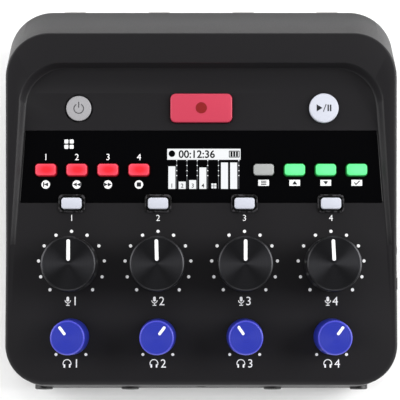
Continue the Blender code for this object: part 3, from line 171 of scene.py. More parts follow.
# Sockets
XLR_RADIUS = 10.2 * MM
XLR_BORE_RADIUS = 9.4 * MM
XLR_INSERT_RADIUS = 7.6 * MM
XLR_BORE_DEPTH = 14.0 * MM
XLR_INSERT_SETBACK = 2.0 * MM
XLR_AXIS_HEIGHT = 18.9 * MM
XLR_FACE_Y = REAR_Y + 0.8 * MM
XLR_PIN_CIRCLE = 3.8 * MM
XLR_PIN_RADIUS = 1.3 * MM
XLR_STEPS = 72
LATCH_WIDTH = 8.0 * MM
LATCH_HEIGHT = 3.2 * MM
LATCH_FROM_AXIS = 8.3 * MM
JACK_COLLAR_RADIUS = 3.25 * MM
JACK_BORE_RADIUS = 1.8 * MM
JACK_STEPS = 48

# Case screws, their heads sunk in the underside
SCREW_X = HALF_WIDTH - 7.5 * MM
SCREW_FRONT_Y = FRONT_Y + 24.75 * MM
SCREW_REAR_Y = REAR_Y - 26.75 * MM
SCREW_SEAT_Z = 2.95 * MM

# Prints: closed slabs of ink, this far above and below the surface that they lie on
INK_ABOVE = 0.03 * MM
INK_BELOW = 0.02 * MM


def panel_height(y):
    return FRONT_HEIGHT + (y - FRONT_Y) * math.tan(PANEL_TILT)


def top_height(y):
    """Height of the case's top: the panel in front, the steeper rim behind the bend."""
    if y <= BEND_Y:
        return panel_height(y)
    return panel_height(BEND_Y) + (y - BEND_Y) * math.tan(RIM_TILT)


def crease_height(y):
    """Height of the line where the rear shoulder starts."""
    share = (y - FRONT_Y) / (REAR_Y - FRONT_Y)
    return CREASE_FRONT_HEIGHT + share * (CREASE_REAR_HEIGHT - CREASE_FRONT_HEIGHT)


ON_PANEL = Matrix.Translation((0, PANEL_Y, panel_height(PANEL_Y))) @ Matrix.Rotation(PANEL_TILT, 4, "X")
FACING_REAR = Matrix.Rotation(-math.pi / 2, 4, "X")
FACING_FRONT = Matrix.Rotation(math.pi / 2, 4, "X")
FACING_RIGHT = Matrix.Rotation(math.pi / 2, 4, "Y")


def on_panel(x, row, height=0.0):
    """The place of a piece on the panel, as a matrix."""
    return ON_PANEL @ Matrix.Translation((x, row, height))


# Colours and material nodes


def linear(hex_colour):
    """An sRGB hex colour as linear red, green and blue."""
    channels = [int(hex_colour[k : k + 2], 16) / 255 for k in (1, 3, 5)]
    return [c / 12.92 if c <= 0.04045 else ((c + 0.055) / 1.055) ** 2.4 for c in channels]


def rgba(colour):
    return (*colour[:3], 1.0)


def add_node(tree, kind, inputs=None, **settings):
    """Adds a node with its settings, and sets or links each of its inputs."""
    node = tree.nodes.new(kind)
    for name, value in settings.items():
        setattr(node, name, value)
    for name, value in (inputs or {}).items():
        if isinstance(value, bpy.types.NodeSocket):
            tree.links.new(value, node.inputs[name])
        else:
            node.inputs[name].default_value = value
    return node


def start_material(name):
    """An empty material with a Principled shader on its output, made once."""
    material = bpy.data.materials.new(name)
    material.use_nodes = True
    tree = material.node_tree
    tree.nodes.clear()
    shader = add_node(tree, "ShaderNodeBsdfPrincipled")
    add_node(tree, "ShaderNodeOutputMaterial", {"Surface": shader.outputs[0]})
    return material, tree, shader


def object_coordinates(tree):
    return add_node(tree, "ShaderNodeTexCoord").outputs["Object"]


def set_inputs(tree, shader, inputs):
    for name, value in inputs.items():
        if isinstance(value, bpy.types.NodeSocket):
            tree.links.new(value, shader.inputs[name])
        else:
            shader.inputs[name].default_value = value


def grain(tree, size, detail=2.0):
    """Noise on the object's own coordinates, with grains of about this many metres."""
    inputs = {"Vector": object_coordinates(tree), "Scale": 1 / size, "Detail": detail, "Roughness": 0.6}
    return add_node(tree, "ShaderNodeTexNoise", inputs).outputs["Fac"]


def mapped(tree, value, low, high, from_low=0.3, from_high=0.7):
    inputs = {"Value": value, "From Min": from_low, "From Max": from_high, "To Min": low, "To Max": high}
    return add_node(tree, "ShaderNodeMapRange", inputs).outputs["Result"]


def blended(tree, share, first, second):
    """A colour between two others, by a share from 0 to 1."""
    node = add_node(tree, "ShaderNodeMix", {0: share, 6: first, 7: second}, data_type="RGBA")
    return node.outputs[2]


def bumped(tree, height, distance, strength=1.0):
    inputs = {"Height": height, "Distance": distance, "Strength": strength}
    return add_node(tree, "ShaderNodeBump", inputs).outputs["Normal"]


def moulded_material(name, colour, roughness, grain_size, speckle, bump, specular=0.5, spread=0.2):
    """A moulded plastic with a fine skin: its grain lifts the colour a little and breaks the shine."""
    material, tree, shader = start_material(name)
    noise = grain(tree, grain_size)
    dark = [c * max(0.0, 1 - speckle) for c in colour[:3]]
    light = [min(1, c * (1 + speckle)) for c in colour[:3]]
    skin = mapped(tree, noise, 0.0, 1.0, 0.5 - spread, 0.5 + spread)
    set_inputs(tree, shader, {
        "Base Color": blended(tree, skin, rgba(dark), rgba(light)),
        "Roughness": mapped(tree, noise, roughness - 0.05, roughness + 0.05),
        "Normal": bumped(tree, noise, bump),
        "Specular IOR Level": specular,
    })
    return material


def made_once(name, maker):
    """The material of this name, made the first time that it is asked for."""
    material = bpy.data.materials.get(name)
    if material is None:
        material = maker(name)
    return material


def spark_eroded_abs():
    """Moulded ABS from a spark-eroded tool: charcoal and matte, with a speckle that catches the light.

    The real grain is about 0.3 mm. It is drawn at 1.3 mm, so that it shows in a small picture.
    """
    colours = bpy.context.scene.recorder_colours
    return made_once("spark_eroded_abs", lambda name: moulded_material(
        name, colours.case, 0.5, 1.3 * MM, 1.5, 0.02 * MM, 0.3, 0.03))


def satin_abs():
    """The same ABS where the tool was blasted finely: smoother, with a soft wide shine."""
    colours = bpy.context.scene.recorder_colours
    return made_once("satin_abs", lambda name: moulded_material(
        name, colours.case, 0.42, 0.25 * MM, 0.06, 0.004 * MM, 0.22))


def gloss_acrylic():
    """Back-painted acrylic, polished: black and mirror smooth, with very faint waves."""
    def make(name):
        material, tree, shader = start_material(name)
        wave = grain(tree, 18 * MM, 0.0)
        set_inputs(tree, shader, {
            "Base Color": rgba(linear("#050506")),
            "Roughness": 0.04,
            "IOR": 1.49,
            "Normal": bumped(tree, wave, 0.01 * MM, 0.4),
        })
        return material
    return made_once("gloss_acrylic", make)


def knob_side_plastic():
    """Moulded ABS knob wall, satin black."""
    return made_once("knob_side_plastic", lambda name: moulded_material(
        name, linear("#1b1b1d"), 0.36, 0.3 * MM, 0.1, 0.004 * MM))


def from_nearest_axis(tree, row, height, phase):
    """The direction away from the nearest of a row of knobs, and the distance from it."""
    spread = add_node(tree, "ShaderNodeSeparateXYZ", {0: object_coordinates(tree)})
    wrapped = add_node(
        tree, "ShaderNodeMath",
        {0: spread.outputs[0], 1: phase + COLUMN_PITCH / 2, 2: phase - COLUMN_PITCH / 2}, operation="WRAP",
    )
    from_axis = add_node(tree, "ShaderNodeMath", {0: wrapped.outputs[0], 1: phase}, operation="SUBTRACT")
    centre = on_panel(0, row, height).translation
    along = add_node(tree, "ShaderNodeMath", {0: spread.outputs[1], 1: centre.y}, operation="SUBTRACT")
    radius = add_node(tree, "ShaderNodeCombineXYZ", {0: from_axis.outputs[0], 1: along.outputs[0]})
    world = add_node(
        tree, "ShaderNodeVectorTransform", {0: radius.outputs[0]},
        vector_type="VECTOR", convert_from="OBJECT", convert_to="WORLD",
    )
    length = add_node(tree, "ShaderNodeVectorMath", {0: radius.outputs[0]}, operation="LENGTH")
    return world.outputs[0], length.outputs["Value"]


def turned_top(name, colour, row, height, roughness, anisotropy, metallic, rings):
    """A knob top with fine concentric turning marks, which draw the shine out into a bow tie."""
    material, tree, shader = start_material(name)
    outward, radius = from_nearest_axis(tree, row, height, COLUMNS[0])
    marks = add_node(
        tree, "ShaderNodeTexNoise", {"W": radius, "Scale": 1 / rings, "Detail": 1.0}, noise_dimensions="1D"
    ).outputs["Fac"]
    dark = [c * 0.88 for c in colour[:3]]
    light = [c * 1.12 for c in colour[:3]]
    set_inputs(tree, shader, {
        "Base Color": blended(tree, mapped(tree, marks, 0.0, 1.0), rgba(dark), rgba(light)),
        "Metallic": metallic,
        "Roughness": roughness,
        "Anisotropic": anisotropy,
        "Tangent": outward,
    })
    return material


def gain_top_plastic():
    """Black anodised disc on the gain knobs, spun with fine turning marks."""
    return made_once("spun_black_disc", lambda name: turned_top(
        name, linear("#3c3c3f"), GAIN_ROW, GAIN_HEIGHT, 0.34, 0.85, 0.9, 0.25 * MM))


def blue_top_plastic():
    """Blue moulded knob top with faint turning marks left by the tool."""
    colours = bpy.context.scene.recorder_colours
    return made_once("blue_moulded_top", lambda name: turned_top(
        name, colours.headphone_knob, VOLUME_ROW, VOLUME_HEIGHT, 0.42, 0.5, 0.0, 0.3 * MM))


def blue_side_painted_shade():
    """Blue moulded knob wall, satin, a tenth darker than the top's blue: painted shade on the wall."""
    colours = bpy.context.scene.recorder_colours
    return made_once("blue_moulded_side", lambda name: moulded_material(
        name, [c * 0.9 for c in colours.headphone_knob], 0.38, 0.3 * MM, 0.05, 0.004 * MM))


def blue_edge_painted_highlight():
    """The knob's chamfered edge, drawn paler than the knob's blue: a painted highlight along the edge."""
    return made_once("blue_moulded_edge", lambda name: moulded_material(
        name, linear("#4648bc"), 0.3, 0.3 * MM, 0.05, 0.003 * MM))


def machined_edge():
    """The gain knob's bright-cut edge: bare metal under the black."""
    def make(name):
        material, tree, shader = start_material(name)
        noise = grain(tree, 0.5 * MM)
        set_inputs(tree, shader, {
            "Base Color": blended(tree, noise, rgba(linear("#39393b")), rgba(linear("#474749"))),
            "Metallic": 1.0,
            "Roughness": mapped(tree, noise, 0.28, 0.4),
        })
        return material
    return made_once("bright_cut_edge", make)


def silicone(name, colour, glow=0.0, edge=None, phase=0.0):
    """Soft silicone key, lit from behind where glow is set: the light is strongest in its middle."""
    material, tree, shader = start_material(name)
    noise = grain(tree, 0.35 * MM)
    base = blended(tree, mapped(tree, noise, 0.0, 1.0), rgba([c * 0.96 for c in colour]), rgba(colour))
    if edge is not None:
        spread = add_node(tree, "ShaderNodeSeparateXYZ", {0: object_coordinates(tree)})
        wrapped = add_node(
            tree, "ShaderNodeMath",
            {0: spread.outputs[0], 1: phase + KEY_PITCH / 2, 2: phase - KEY_PITCH / 2}, operation="WRAP",
        )
        off_centre = add_node(
            tree, "ShaderNodeMath", {0: wrapped.outputs[0], 1: phase + 0.3 * MM}, operation="SUBTRACT"
        )
        row_y = (ON_PANEL @ Matrix.Translation((0, KEY_ROW, KEY_HEIGHT))).translation.y
        depth = add_node(tree, "ShaderNodeMath", {0: spread.outputs[1], 1: row_y}, operation="SUBTRACT")
        oval = add_node(tree, "ShaderNodeCombineXYZ", {0: off_centre.outputs[0], 1: depth.outputs[0]})
        scaled = add_node(
            tree, "ShaderNodeVectorMath",
            {0: oval.outputs[0], 1: (2 / KEY_WIDTH, 2 / KEY_DEPTH, 0)}, operation="MULTIPLY",
        )
        reach = add_node(tree, "ShaderNodeVectorMath", {0: scaled.outputs[0]}, operation="LENGTH")
        share = mapped(tree, reach.outputs["Value"], 0.0, 1.0, 0.35, 1.15)
        base = blended(tree, share, base, rgba(edge))
    set_inputs(tree, shader, {
        "Base Color": base,
        "Roughness": mapped(tree, noise, 0.42, 0.5),
        "Normal": bumped(tree, noise, 0.004 * MM),
    })
    if glow:
        set_inputs(tree, shader, {"Emission Color": base, "Emission Strength": glow})
    return material


def ink(name, colour, glow=0.0):
    """Pad-printed ink, satin and slightly uneven in its cover."""
    material, tree, shader = start_material(name)
    noise = grain(tree, 0.3 * MM)
    base = blended(tree, mapped(tree, noise, 0.0, 1.0), rgba([c * 0.9 for c in colour]), rgba(colour))
    set_inputs(tree, shader, {"Base Color": base, "Roughness": mapped(tree, noise, 0.4, 0.5)})
    if glow:
        set_inputs(tree, shader, {"Emission Color": base, "Emission Strength": glow})
    return material


def white_ink():
    return made_once("white_pad_print", lambda name: ink(name, linear("#f4f4f5")))


def grey_ink():
    return made_once("grey_pad_print", lambda name: ink(name, linear("#4c4c4e")))


def dark_ink():
    return made_once("dark_pad_print", lambda name: ink(name, linear("#16181f")))


def red_ink():
    return made_once("dark_red_pad_print", lambda name: ink(name, linear("#860204")))


def screen_light(name, hex_colour, glow=1.0):
    """A lit area of the liquid-crystal display, seen through the window's gloss."""
    def make(label):
        material, tree, shader = start_material(label)
        pixels = grain(tree, 0.12 * MM, 0.0)
        lit = linear(hex_colour)
        base = blended(tree, mapped(tree, pixels, 0.0, 1.0), rgba([c * 0.94 for c in lit]), rgba(lit))
        set_inputs(tree, shader, {
            "Base Color": rgba([c * 0.1 for c in lit]),
            "Emission Color": base,
            "Emission Strength": glow,
            "Roughness": 0.05,
        })
        return material
    return made_once(name, make)


def socket_plastic():
    """Glass-filled nylon socket body, satin black."""
    return made_once("socket_nylon", lambda name: moulded_material(
        name, linear("#161617"), 0.4, 0.3 * MM, 0.12, 0.006 * MM))


def metal(name, hex_colour, roughness, size):
    material, tree, shader = start_material(name)
    noise = grain(tree, size)
    colour = linear(hex_colour)
    set_inputs(tree, shader, {
        "Base Color": blended(tree, noise, rgba([c * 0.85 for c in colour]), rgba(colour)),
        "Metallic": 1.0,
        "Roughness": mapped(tree, noise, roughness - 0.06, roughness + 0.06),
    })
    return material


def nickel_plate():
    """Nickel-plated spring steel, satin, faintly cloudy."""
    return made_once("nickel_plate", lambda name: metal(name, "#c9c5bd", 0.26, 1.5 * MM))


def gold_plate():
    """Gold-plated contacts, bright."""
    return made_once("gold_plate", lambda name: metal(name, "#d9a441", 0.2, 0.8 * MM))


def zinc_plate():
    """Black zinc-plated screws, satin."""
    return made_once("black_zinc_plate", lambda name: metal(name, "#3a3a3c", 0.35, 0.6 * MM))


def foot_rubber():
    """Moulded rubber: matte black with a dusty bloom."""
    return made_once("moulded_rubber", lambda name: moulded_material(
        name, linear("#1d1d1d"), 0.75, 0.5 * MM, 0.2, 0.02 * MM, 0.3))


def solder_mask():
    """Green solder mask over copper: glossy, with the tracks showing as paler lines."""
    def make(name):
        material, tree, shader = start_material(name)
        tracks = add_node(
            tree, "ShaderNodeTexBrick",
            {"Vector": object_coordinates(tree), "Scale": 1 / (12 * MM), "Mortar Size": 0.02,
             "Color1": rgba(linear("#0f4a2c")), "Color2": rgba(linear("#12552f")),
             "Mortar": rgba(linear("#2c8a55"))},
        )
        set_inputs(tree, shader, {"Base Color": tracks.outputs[0], "Roughness": 0.3})
        return material
    return made_once("green_solder_mask", make)


def pot_housing():
    """Pressed steel and phenolic potentiometer body, dull olive."""
    return made_once("phenolic_pot_body", lambda name: moulded_material(
        name, linear("#5f6a55"), 0.5, 0.6 * MM, 0.15, 0.01 * MM))


# Mesh helpers


def finish_piece(name, bm, materials, body="body", nodes=(), place=None, sharp=32.0):
    """Makes a bmesh a finished piece: in place, shaded, dressed, riding on its body."""
    bmesh.ops.remove_doubles(bm, verts=bm.verts, dist=0.001 * MM)
    if place is not None:
        bmesh.ops.transform(bm, matrix=place, verts=bm.verts)
    bmesh.ops.recalc_face_normals(bm, faces=bm.faces)
    mesh = bpy.data.meshes.new(name)
    bm.to_mesh(mesh)
    bm.free()
    for material in materials:
        mesh.materials.append(material)
    piece = bpy.data.objects.new(name, mesh)
    bpy.context.scene.collection.objects.link(piece)
    return dress_piece(piece, body, nodes, sharp)


def dress_piece(piece, body, nodes, sharp=32.0):
    piece.data.shade_smooth()
    piece.data.set_sharp_from_angle(angle=math.radians(sharp))
    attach(piece, body)
    if nodes:
        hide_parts(*nodes)
    return piece


def plain_object(name, bm, place=None):
    """A bmesh as an object that is still to be cut or that cuts."""
    bmesh.ops.remove_doubles(bm, verts=bm.verts, dist=0.001 * MM)
    if place is not None:
        bmesh.ops.transform(bm, matrix=place, verts=bm.verts)
    bmesh.ops.recalc_face_normals(bm, faces=bm.faces)
    mesh = bpy.data.meshes.new(name)
    bm.to_mesh(mesh)
    bm.free()
    piece = bpy.data.objects.new(name, mesh)
    bpy.context.scene.collection.objects.link(piece)
    return piece


def shape_with(piece, tools, operation="DIFFERENCE"):
    """Cuts the tools from the piece, or joins them to it, and removes them."""
    group = bpy.data.collections.new(f"{piece.name}_tools")
    bpy.context.scene.collection.children.link(group)
    for tool in tools:
        bpy.context.scene.collection.objects.unlink(tool)
        group.objects.link(tool)
    modifier = piece.modifiers.new("shape", "BOOLEAN")
    modifier.operation = operation
    modifier.operand_type = "COLLECTION"
    modifier.collection = group
    modifier.solver = "EXACT"
    shaped = piece.evaluated_get(bpy.context.evaluated_depsgraph_get())
    mesh = bpy.data.meshes.new_from_object(shaped)
    piece.modifiers.clear()
    old = piece.data
    piece.data = mesh
    bpy.data.meshes.remove(old)
    for tool in list(group.objects):
        used = tool.data
        bpy.data.objects.remove(tool)
        bpy.data.meshes.remove(used)
    bpy.data.collections.remove(group)
    if not mesh.polygons:
        raise RuntimeError(f"nothing is left of {piece.name}")


def outline(bm, corners, radii, steps):
    """A closed loop of edges through plan corners, each rounded by its radius."""
    old_verts = set(bm.verts)
    old_edges = set(bm.edges)
    verts = [bm.verts.new((x, y, 0)) for x, y in corners]
    bm.faces.new(verts)
    for vert, radius in zip(verts, radii):
        if radius:
            bmesh.ops.bevel(
                bm, geom=[vert], offset=radius, offset_type="OFFSET", segments=steps, profile=0.5,
                affect="VERTICES", material=-1,
            )
    new_verts = [v for v in bm.verts if v not in old_verts]
    faces = {f for v in new_verts for f in v.link_faces}
    bmesh.ops.delete(bm, geom=list(faces), context="FACES_ONLY")
    return new_verts, [e for e in bm.edges if e not in old_edges]


def raise_to(verts, height):
    """Sets the height of each vertex to a number, or to what a function of its depth gives."""
    for vert in verts:
        vert.co.z = height(vert.co.y) if callable(height) else height


def case_loop(bm, inset, rear_y, height, front_inset=None):
    """The case's plan outline, moved in by an inset, with a point where the rim starts to rise."""
    x = HALF_WIDTH - inset
    front = FRONT_Y + (inset if front_inset is None else front_inset)
    rear = rear_y - inset
    corners = [(x, front), (x, BEND_Y), (x, rear), (-x, rear), (-x, BEND_Y), (-x, front)]
    front_radius = FRONT_CORNER - inset
    rear_radius = REAR_CORNER - inset
    radii = [front_radius, 0, rear_radius, rear_radius, 0, front_radius]
    verts, edges = outline(bm, corners, radii, CORNER_STEPS)
    raise_to(verts, height)
    return edges


def recess_chain(bm, share, height):
    """An open line round the recess's wall, from its foot (share 0) to its rim (share 1)."""
    half = RECESS_RIM_HALF - (1 - share) * RECESS_SIDE_RUN
    rear = RECESS_REAR_Y - (1 - share) * RECESS_REAR_RUN
    radius = RECESS_FLOOR_CORNER + share * (RECESS_RIM_CORNER - RECESS_FLOOR_CORNER)
    spread = (rear - radius - BEND_Y) * math.tan(RECESS_SPLAY)
    in_corner = radius * math.tan(RECESS_SPLAY)
    front_half = half + spread
    rear_half = half - in_corner
    corners = [(front_half, BEND_Y), (rear_half, rear), (-rear_half, rear), (-front_half, BEND_Y)]
    verts, edges = outline(bm, corners, [0, radius, radius, 0], CORNER_STEPS)
    raise_to(verts, height)
    front = [e for e in edges if all(abs(v.co.y - BEND_Y) < 0.001 * MM for v in e.verts)]
    bmesh.ops.delete(bm, geom=front, context="EDGES")
    return [e for e in edges if e.is_valid]


def bridge(bm, first, second):
    return bmesh.ops.bridge_loops(bm, edges=first + second)["faces"]


def cap(bm, edges):
    bmesh.ops.contextual_create(bm, geom=edges)


def rounded_block(width, depth, bottom, top, corner, soft=0.0, steps=8):
    """A block with round upright edges and a softened top."""
    bm = bmesh.new()
    bmesh.ops.create_cube(bm, size=1)
    bmesh.ops.scale(bm, vec=(width, depth, top - bottom), verts=bm.verts)
    bmesh.ops.translate(bm, vec=(0, 0, (top + bottom) / 2), verts=bm.verts)
    if corner:
        upright = [e for e in bm.edges if abs(e.verts[0].co.z - e.verts[1].co.z) > (top - bottom) / 2]
        bmesh.ops.bevel(
            bm, geom=upright, offset=corner, segments=steps, profile=0.5, affect="EDGES", material=-1
        )
    if soft:
        rim = [e for e in bm.edges if all(abs(v.co.z - top) < 0.001 * MM for v in e.verts)]
        bmesh.ops.bevel(bm, geom=rim, offset=soft, segments=4, profile=0.5, affect="EDGES", material=-1)
    return bm


def drum(radius, bottom, top, steps=48):
    bm = bmesh.new()
    bmesh.ops.create_cone(
        bm, cap_ends=True, segments=steps, radius1=radius, radius2=radius, depth=top - bottom
    )
    bmesh.ops.translate(bm, vec=(0, 0, (top + bottom) / 2), verts=bm.verts)
    return bm


def turned(profile, steps):
    """A piece turned from a profile of (radius, height) points that starts and ends on the axis.

    A third value in a point is the material of the band from it to the next point.
    """
    bm = bmesh.new()
    for point, following in zip(profile, profile[1:]):
        ends = [bm.verts.new((p[0], 0, p[1])) for p in (point, following)]
        edge = bm.edges.new(ends)
        old = set(bm.faces)
        bmesh.ops.spin(
            bm, geom=ends + [edge], cent=(0, 0, 0), axis=(0, 0, 1), angle=2 * math.pi, steps=steps,
            use_merge=True,
        )
        for face in bm.faces:
            if face not in old:
                face.material_index = point[2] if len(point) > 2 else 0
    bmesh.ops.remove_doubles(bm, verts=bm.verts, dist=0.001 * MM)
    return bm


def rounded_edge(radius, height, soft, steps=4):
    """Profile points of a rounded outer edge that turns from a top into a wall."""
    angles = [math.pi / 2 * (1 - k / steps) for k in range(steps + 1)]
    return [
        (radius - soft + soft * math.cos(a), height - soft + soft * math.sin(a)) for a in angles
    ]


# Printed marks, each a closed slab on the panel's plane


def thicken(bm, faces, level, colour):
    """Turns flat faces into slabs that lie on a level, in one of the piece's materials."""
    verts = {v for f in faces for v in f.verts}
    bmesh.ops.translate(bm, vec=(0, 0, level - INK_BELOW), verts=list(verts))
    for face in faces:
        face.material_index = colour
    grown = bmesh.ops.extrude_face_region(bm, geom=faces, use_keep_orig=True)["geom"]
    raised = [g for g in grown if isinstance(g, bmesh.types.BMVert)]
    bmesh.ops.translate(bm, vec=(0, 0, INK_ABOVE + INK_BELOW), verts=raised)


def print_disc(bm, x, row, radius, level=0.0, colour=0, steps=28):
    place = Matrix.Translation((x, row, 0))
    verts = bmesh.ops.create_circle(bm, cap_ends=True, segments=steps, radius=radius, matrix=place)["verts"]
    thicken(bm, list({f for v in verts for f in v.link_faces}), level, colour)


def print_polygon(bm, points, level=0.0, colour=0):
    face = bm.faces.new([bm.verts.new((x, row, 0)) for x, row in points])
    thicken(bm, [face], level, colour)


def print_bar(bm, x, row, width, depth, level=0.0, colour=0, corner=0.0, turn=0.0):
    """A rectangle about its middle, with round corners if a corner is given."""
    place = Matrix.Translation((x, row, 0)) @ Matrix.Rotation(turn, 4, "Z")
    size = Matrix.Diagonal((width, depth, 1, 1))
    made = bmesh.ops.create_grid(bm, x_segments=1, y_segments=1, size=0.5, matrix=place @ size)["verts"]
    faces = list({f for v in made for f in v.link_faces})
    if corner:
        out = bmesh.ops.bevel(
            bm, geom=made, offset=corner, segments=4, profile=0.5, affect="VERTICES", material=-1
        )
        faces = list({f for v in out["verts"] for f in v.link_faces})
    thicken(bm, faces, level, colour)


def print_band(bm, x, row, radius, width, start, end, level=0.0, colour=0, steps=24):
    """Part of a ring, from one angle to another, in degrees."""
    turn = Matrix.Translation((x, row, 0)) @ Matrix.Rotation(math.radians(start), 4, "Z")
    inner = bm.verts.new(turn @ Matrix.Translation((radius - width / 2, 0, 0)).translation)
    outer = bm.verts.new(turn @ Matrix.Translation((radius + width / 2, 0, 0)).translation)
    edge = bm.edges.new((inner, outer))
    old = set(bm.faces)
    whole = abs(end - start) >= 360
    bmesh.ops.spin(
        bm, geom=[inner, outer, edge], cent=(x, row, 0), axis=(0, 0, 1),
        angle=math.radians(end - start), steps=steps, use_merge=whole,
    )
    thicken(bm, [f for f in bm.faces if f not in old], level, colour)


def print_text(bm, text, x, row, height, level=0.0, colour=0, weight=0.0):
    """Plain figures of a given height, centred on a place."""
    curve = bpy.data.curves.new("figures", "FONT")
    curve.body = text
    curve.align_x = "CENTER"
    curve.offset = weight
    curve.resolution_u = 4
    writing = bpy.data.objects.new("figures", curve)
    bpy.context.scene.collection.objects.link(writing)
    mesh = bpy.data.meshes.new_from_object(writing.evaluated_get(bpy.context.evaluated_depsgraph_get()))
    xs = [v.co.x for v in mesh.vertices]
    ys = [v.co.y for v in mesh.vertices]
    scale = height / (max(ys) - min(ys))
    middle = ((max(xs) + min(xs)) / 2, (max(ys) + min(ys)) / 2, 0)
    mesh.transform(
        Matrix.Translation((x, row, 0)) @ Matrix.Scale(scale, 4) @ Matrix.Translation([-c for c in middle])
    )
    old = set(bm.faces)
    bm.from_mesh(mesh)
    bpy.data.objects.remove(writing)
    bpy.data.curves.remove(curve)
    bpy.data.meshes.remove(mesh)
    thicken(bm, [f for f in bm.faces if f not in old], level, colour)


# Upper case


def case_shell():
    """The outer form of the upper case: walls, rear shoulder, rounded edge, rim, recess and panel."""
    sizes = bpy.context.scene.recorder_sizes
    bm = bmesh.new()
    loops = [
        case_loop(bm, 0, REAR_Y, PARTING_HEIGHT),
        case_loop(bm, 0, REAR_Y, crease_height),
    ]
    for k in range(EDGE_STEPS + 1):
        a = math.pi / 2 * k / EDGE_STEPS
        inset = sizes.case_edge * (1 - math.cos(a))
        drop = sizes.case_edge * (1 - math.sin(a))
        loops.append(case_loop(
            bm, inset, TOP_REAR_Y, lambda y, drop=drop: top_height(y) - drop, FRONT_EDGE_SHARE * inset
        ))
    for lower, upper in zip(loops, loops[1:]):
        for face in bridge(bm, lower, upper):
            face.material_index = 1
    cap(bm, loops[0])
    behind = [e for e in loops[-1] if all(v.co.y > BEND_Y - 0.001 * MM for v in e.verts)]
    chains = []
    for k in range(RECESS_STEPS + 1):
        share = 1 - k / RECESS_STEPS
        climb = share * share * (3 - 2 * share)
        chains.append(recess_chain(
            bm, share, lambda y, climb=climb: panel_height(y) + climb * (top_height(y) - panel_height(y))
        ))
    bridge(bm, behind, chains[0])
    for upper, lower in zip(chains, chains[1:]):
        for face in bridge(bm, upper, lower):
            face.material_index = 1
    cap(bm, [e for e in bm.edges if len(e.link_faces) == 1])
    return bm


def case_hollow():
    """The space inside the upper case."""
    bm = bmesh.new()
    inner_rear = TOP_REAR_Y - 1.0 * MM
    drop = PANEL_WALL / math.cos(PANEL_TILT)
    loops = [
        case_loop(bm, SIDE_WALL, REAR_Y, PARTING_HEIGHT - OVERRUN),
        case_loop(bm, SIDE_WALL, REAR_Y, lambda y: crease_height(y) - 1.0 * MM),
        case_loop(bm, SIDE_WALL, inner_rear, lambda y: panel_height(y) - drop),
    ]
    for lower, upper in zip(loops, loops[1:]):
        bridge(bm, lower, upper)
    cap(bm, loops[0])
    cap(bm, loops[-1])
    return bm


def window_block(gap, bottom, top, soft=0.0):
    """The window strip's form: as wide as the recess's floor, splayed like it."""
    floor_half = RECESS_RIM_HALF - RECESS_SIDE_RUN
    floor_corner_y = RECESS_REAR_Y - RECESS_REAR_RUN - RECESS_FLOOR_CORNER
    bm = bmesh.new()
    corners = []
    for row in (WINDOW_FRONT_ROW, WINDOW_REAR_ROW):
        y = PANEL_Y + row * math.cos(PANEL_TILT)
        half = floor_half + (floor_corner_y - y) * math.tan(RECESS_SPLAY) - gap
        inner_row = row + gap if row == WINDOW_FRONT_ROW else row - gap
        corners.append((half, inner_row))
    front, rear = corners
    verts, edges = outline(
        bm, [front, rear, (-rear[0], rear[1]), (-front[0], front[1])], [0.8 * MM] * 4, 6
    )
    raise_to(verts, bottom)
    cap(bm, edges)
    grown = bmesh.ops.extrude_face_region(bm, geom=list(bm.faces), use_keep_orig=True)["geom"]
    raised = [g for g in grown if isinstance(g, bmesh.types.BMVert)]
    bmesh.ops.translate(bm, vec=(0, 0, top - bottom), verts=raised)
    if soft:
        rim = [e for e in bm.edges if all(abs(v.co.z - top) < 0.001 * MM for v in e.verts)]
        bmesh.ops.bevel(bm, geom=rim, offset=soft, segments=2, profile=0.5, affect="EDGES", material=-1)
    return bm


def key_hole(bottom, top):
    fit = 2 * CLEARANCE
    return rounded_block(KEY_WIDTH + fit, KEY_DEPTH + fit, bottom, top, 1.3 * MM)


def panel_holes():
    """Cutters for the holes under the controls."""
    low = -PANEL_WALL - OVERRUN
    high = OVERRUN
    tools = []
    for x in COLUMNS:
        for row in (GAIN_ROW, VOLUME_ROW):
            tools.append(plain_object("shaft_hole", drum(SHAFT_HOLE_RADIUS, low, high), on_panel(x, row)))
        tools.append(plain_object("mute_hole", key_hole(low, high), on_panel(x, MUTE_ROW)))
    for x in PADS + FUNCTIONS:
        tools.append(plain_object("key_hole", key_hole(low, high), on_panel(x, KEY_ROW)))
    fit = 2 * CLEARANCE
    record = rounded_block(
        RECORD_WIDTH + fit, RECORD_DEPTH + fit, low, high, RECORD_CORNER + CLEARANCE, steps=12
    )
    tools.append(plain_object("record_hole", record, on_panel(0, TOP_ROW)))
    power = drum(POWER_RADIUS + CLEARANCE, low, high, 64)
    tools.append(plain_object("power_hole", power, on_panel(-ROUND_BUTTON_X, TOP_ROW)))
    play = drum(PLAY_RADIUS + CLEARANCE, low, high, 64)
    tools.append(plain_object("play_hole", play, on_panel(ROUND_BUTTON_X, TOP_ROW)))
    return tools


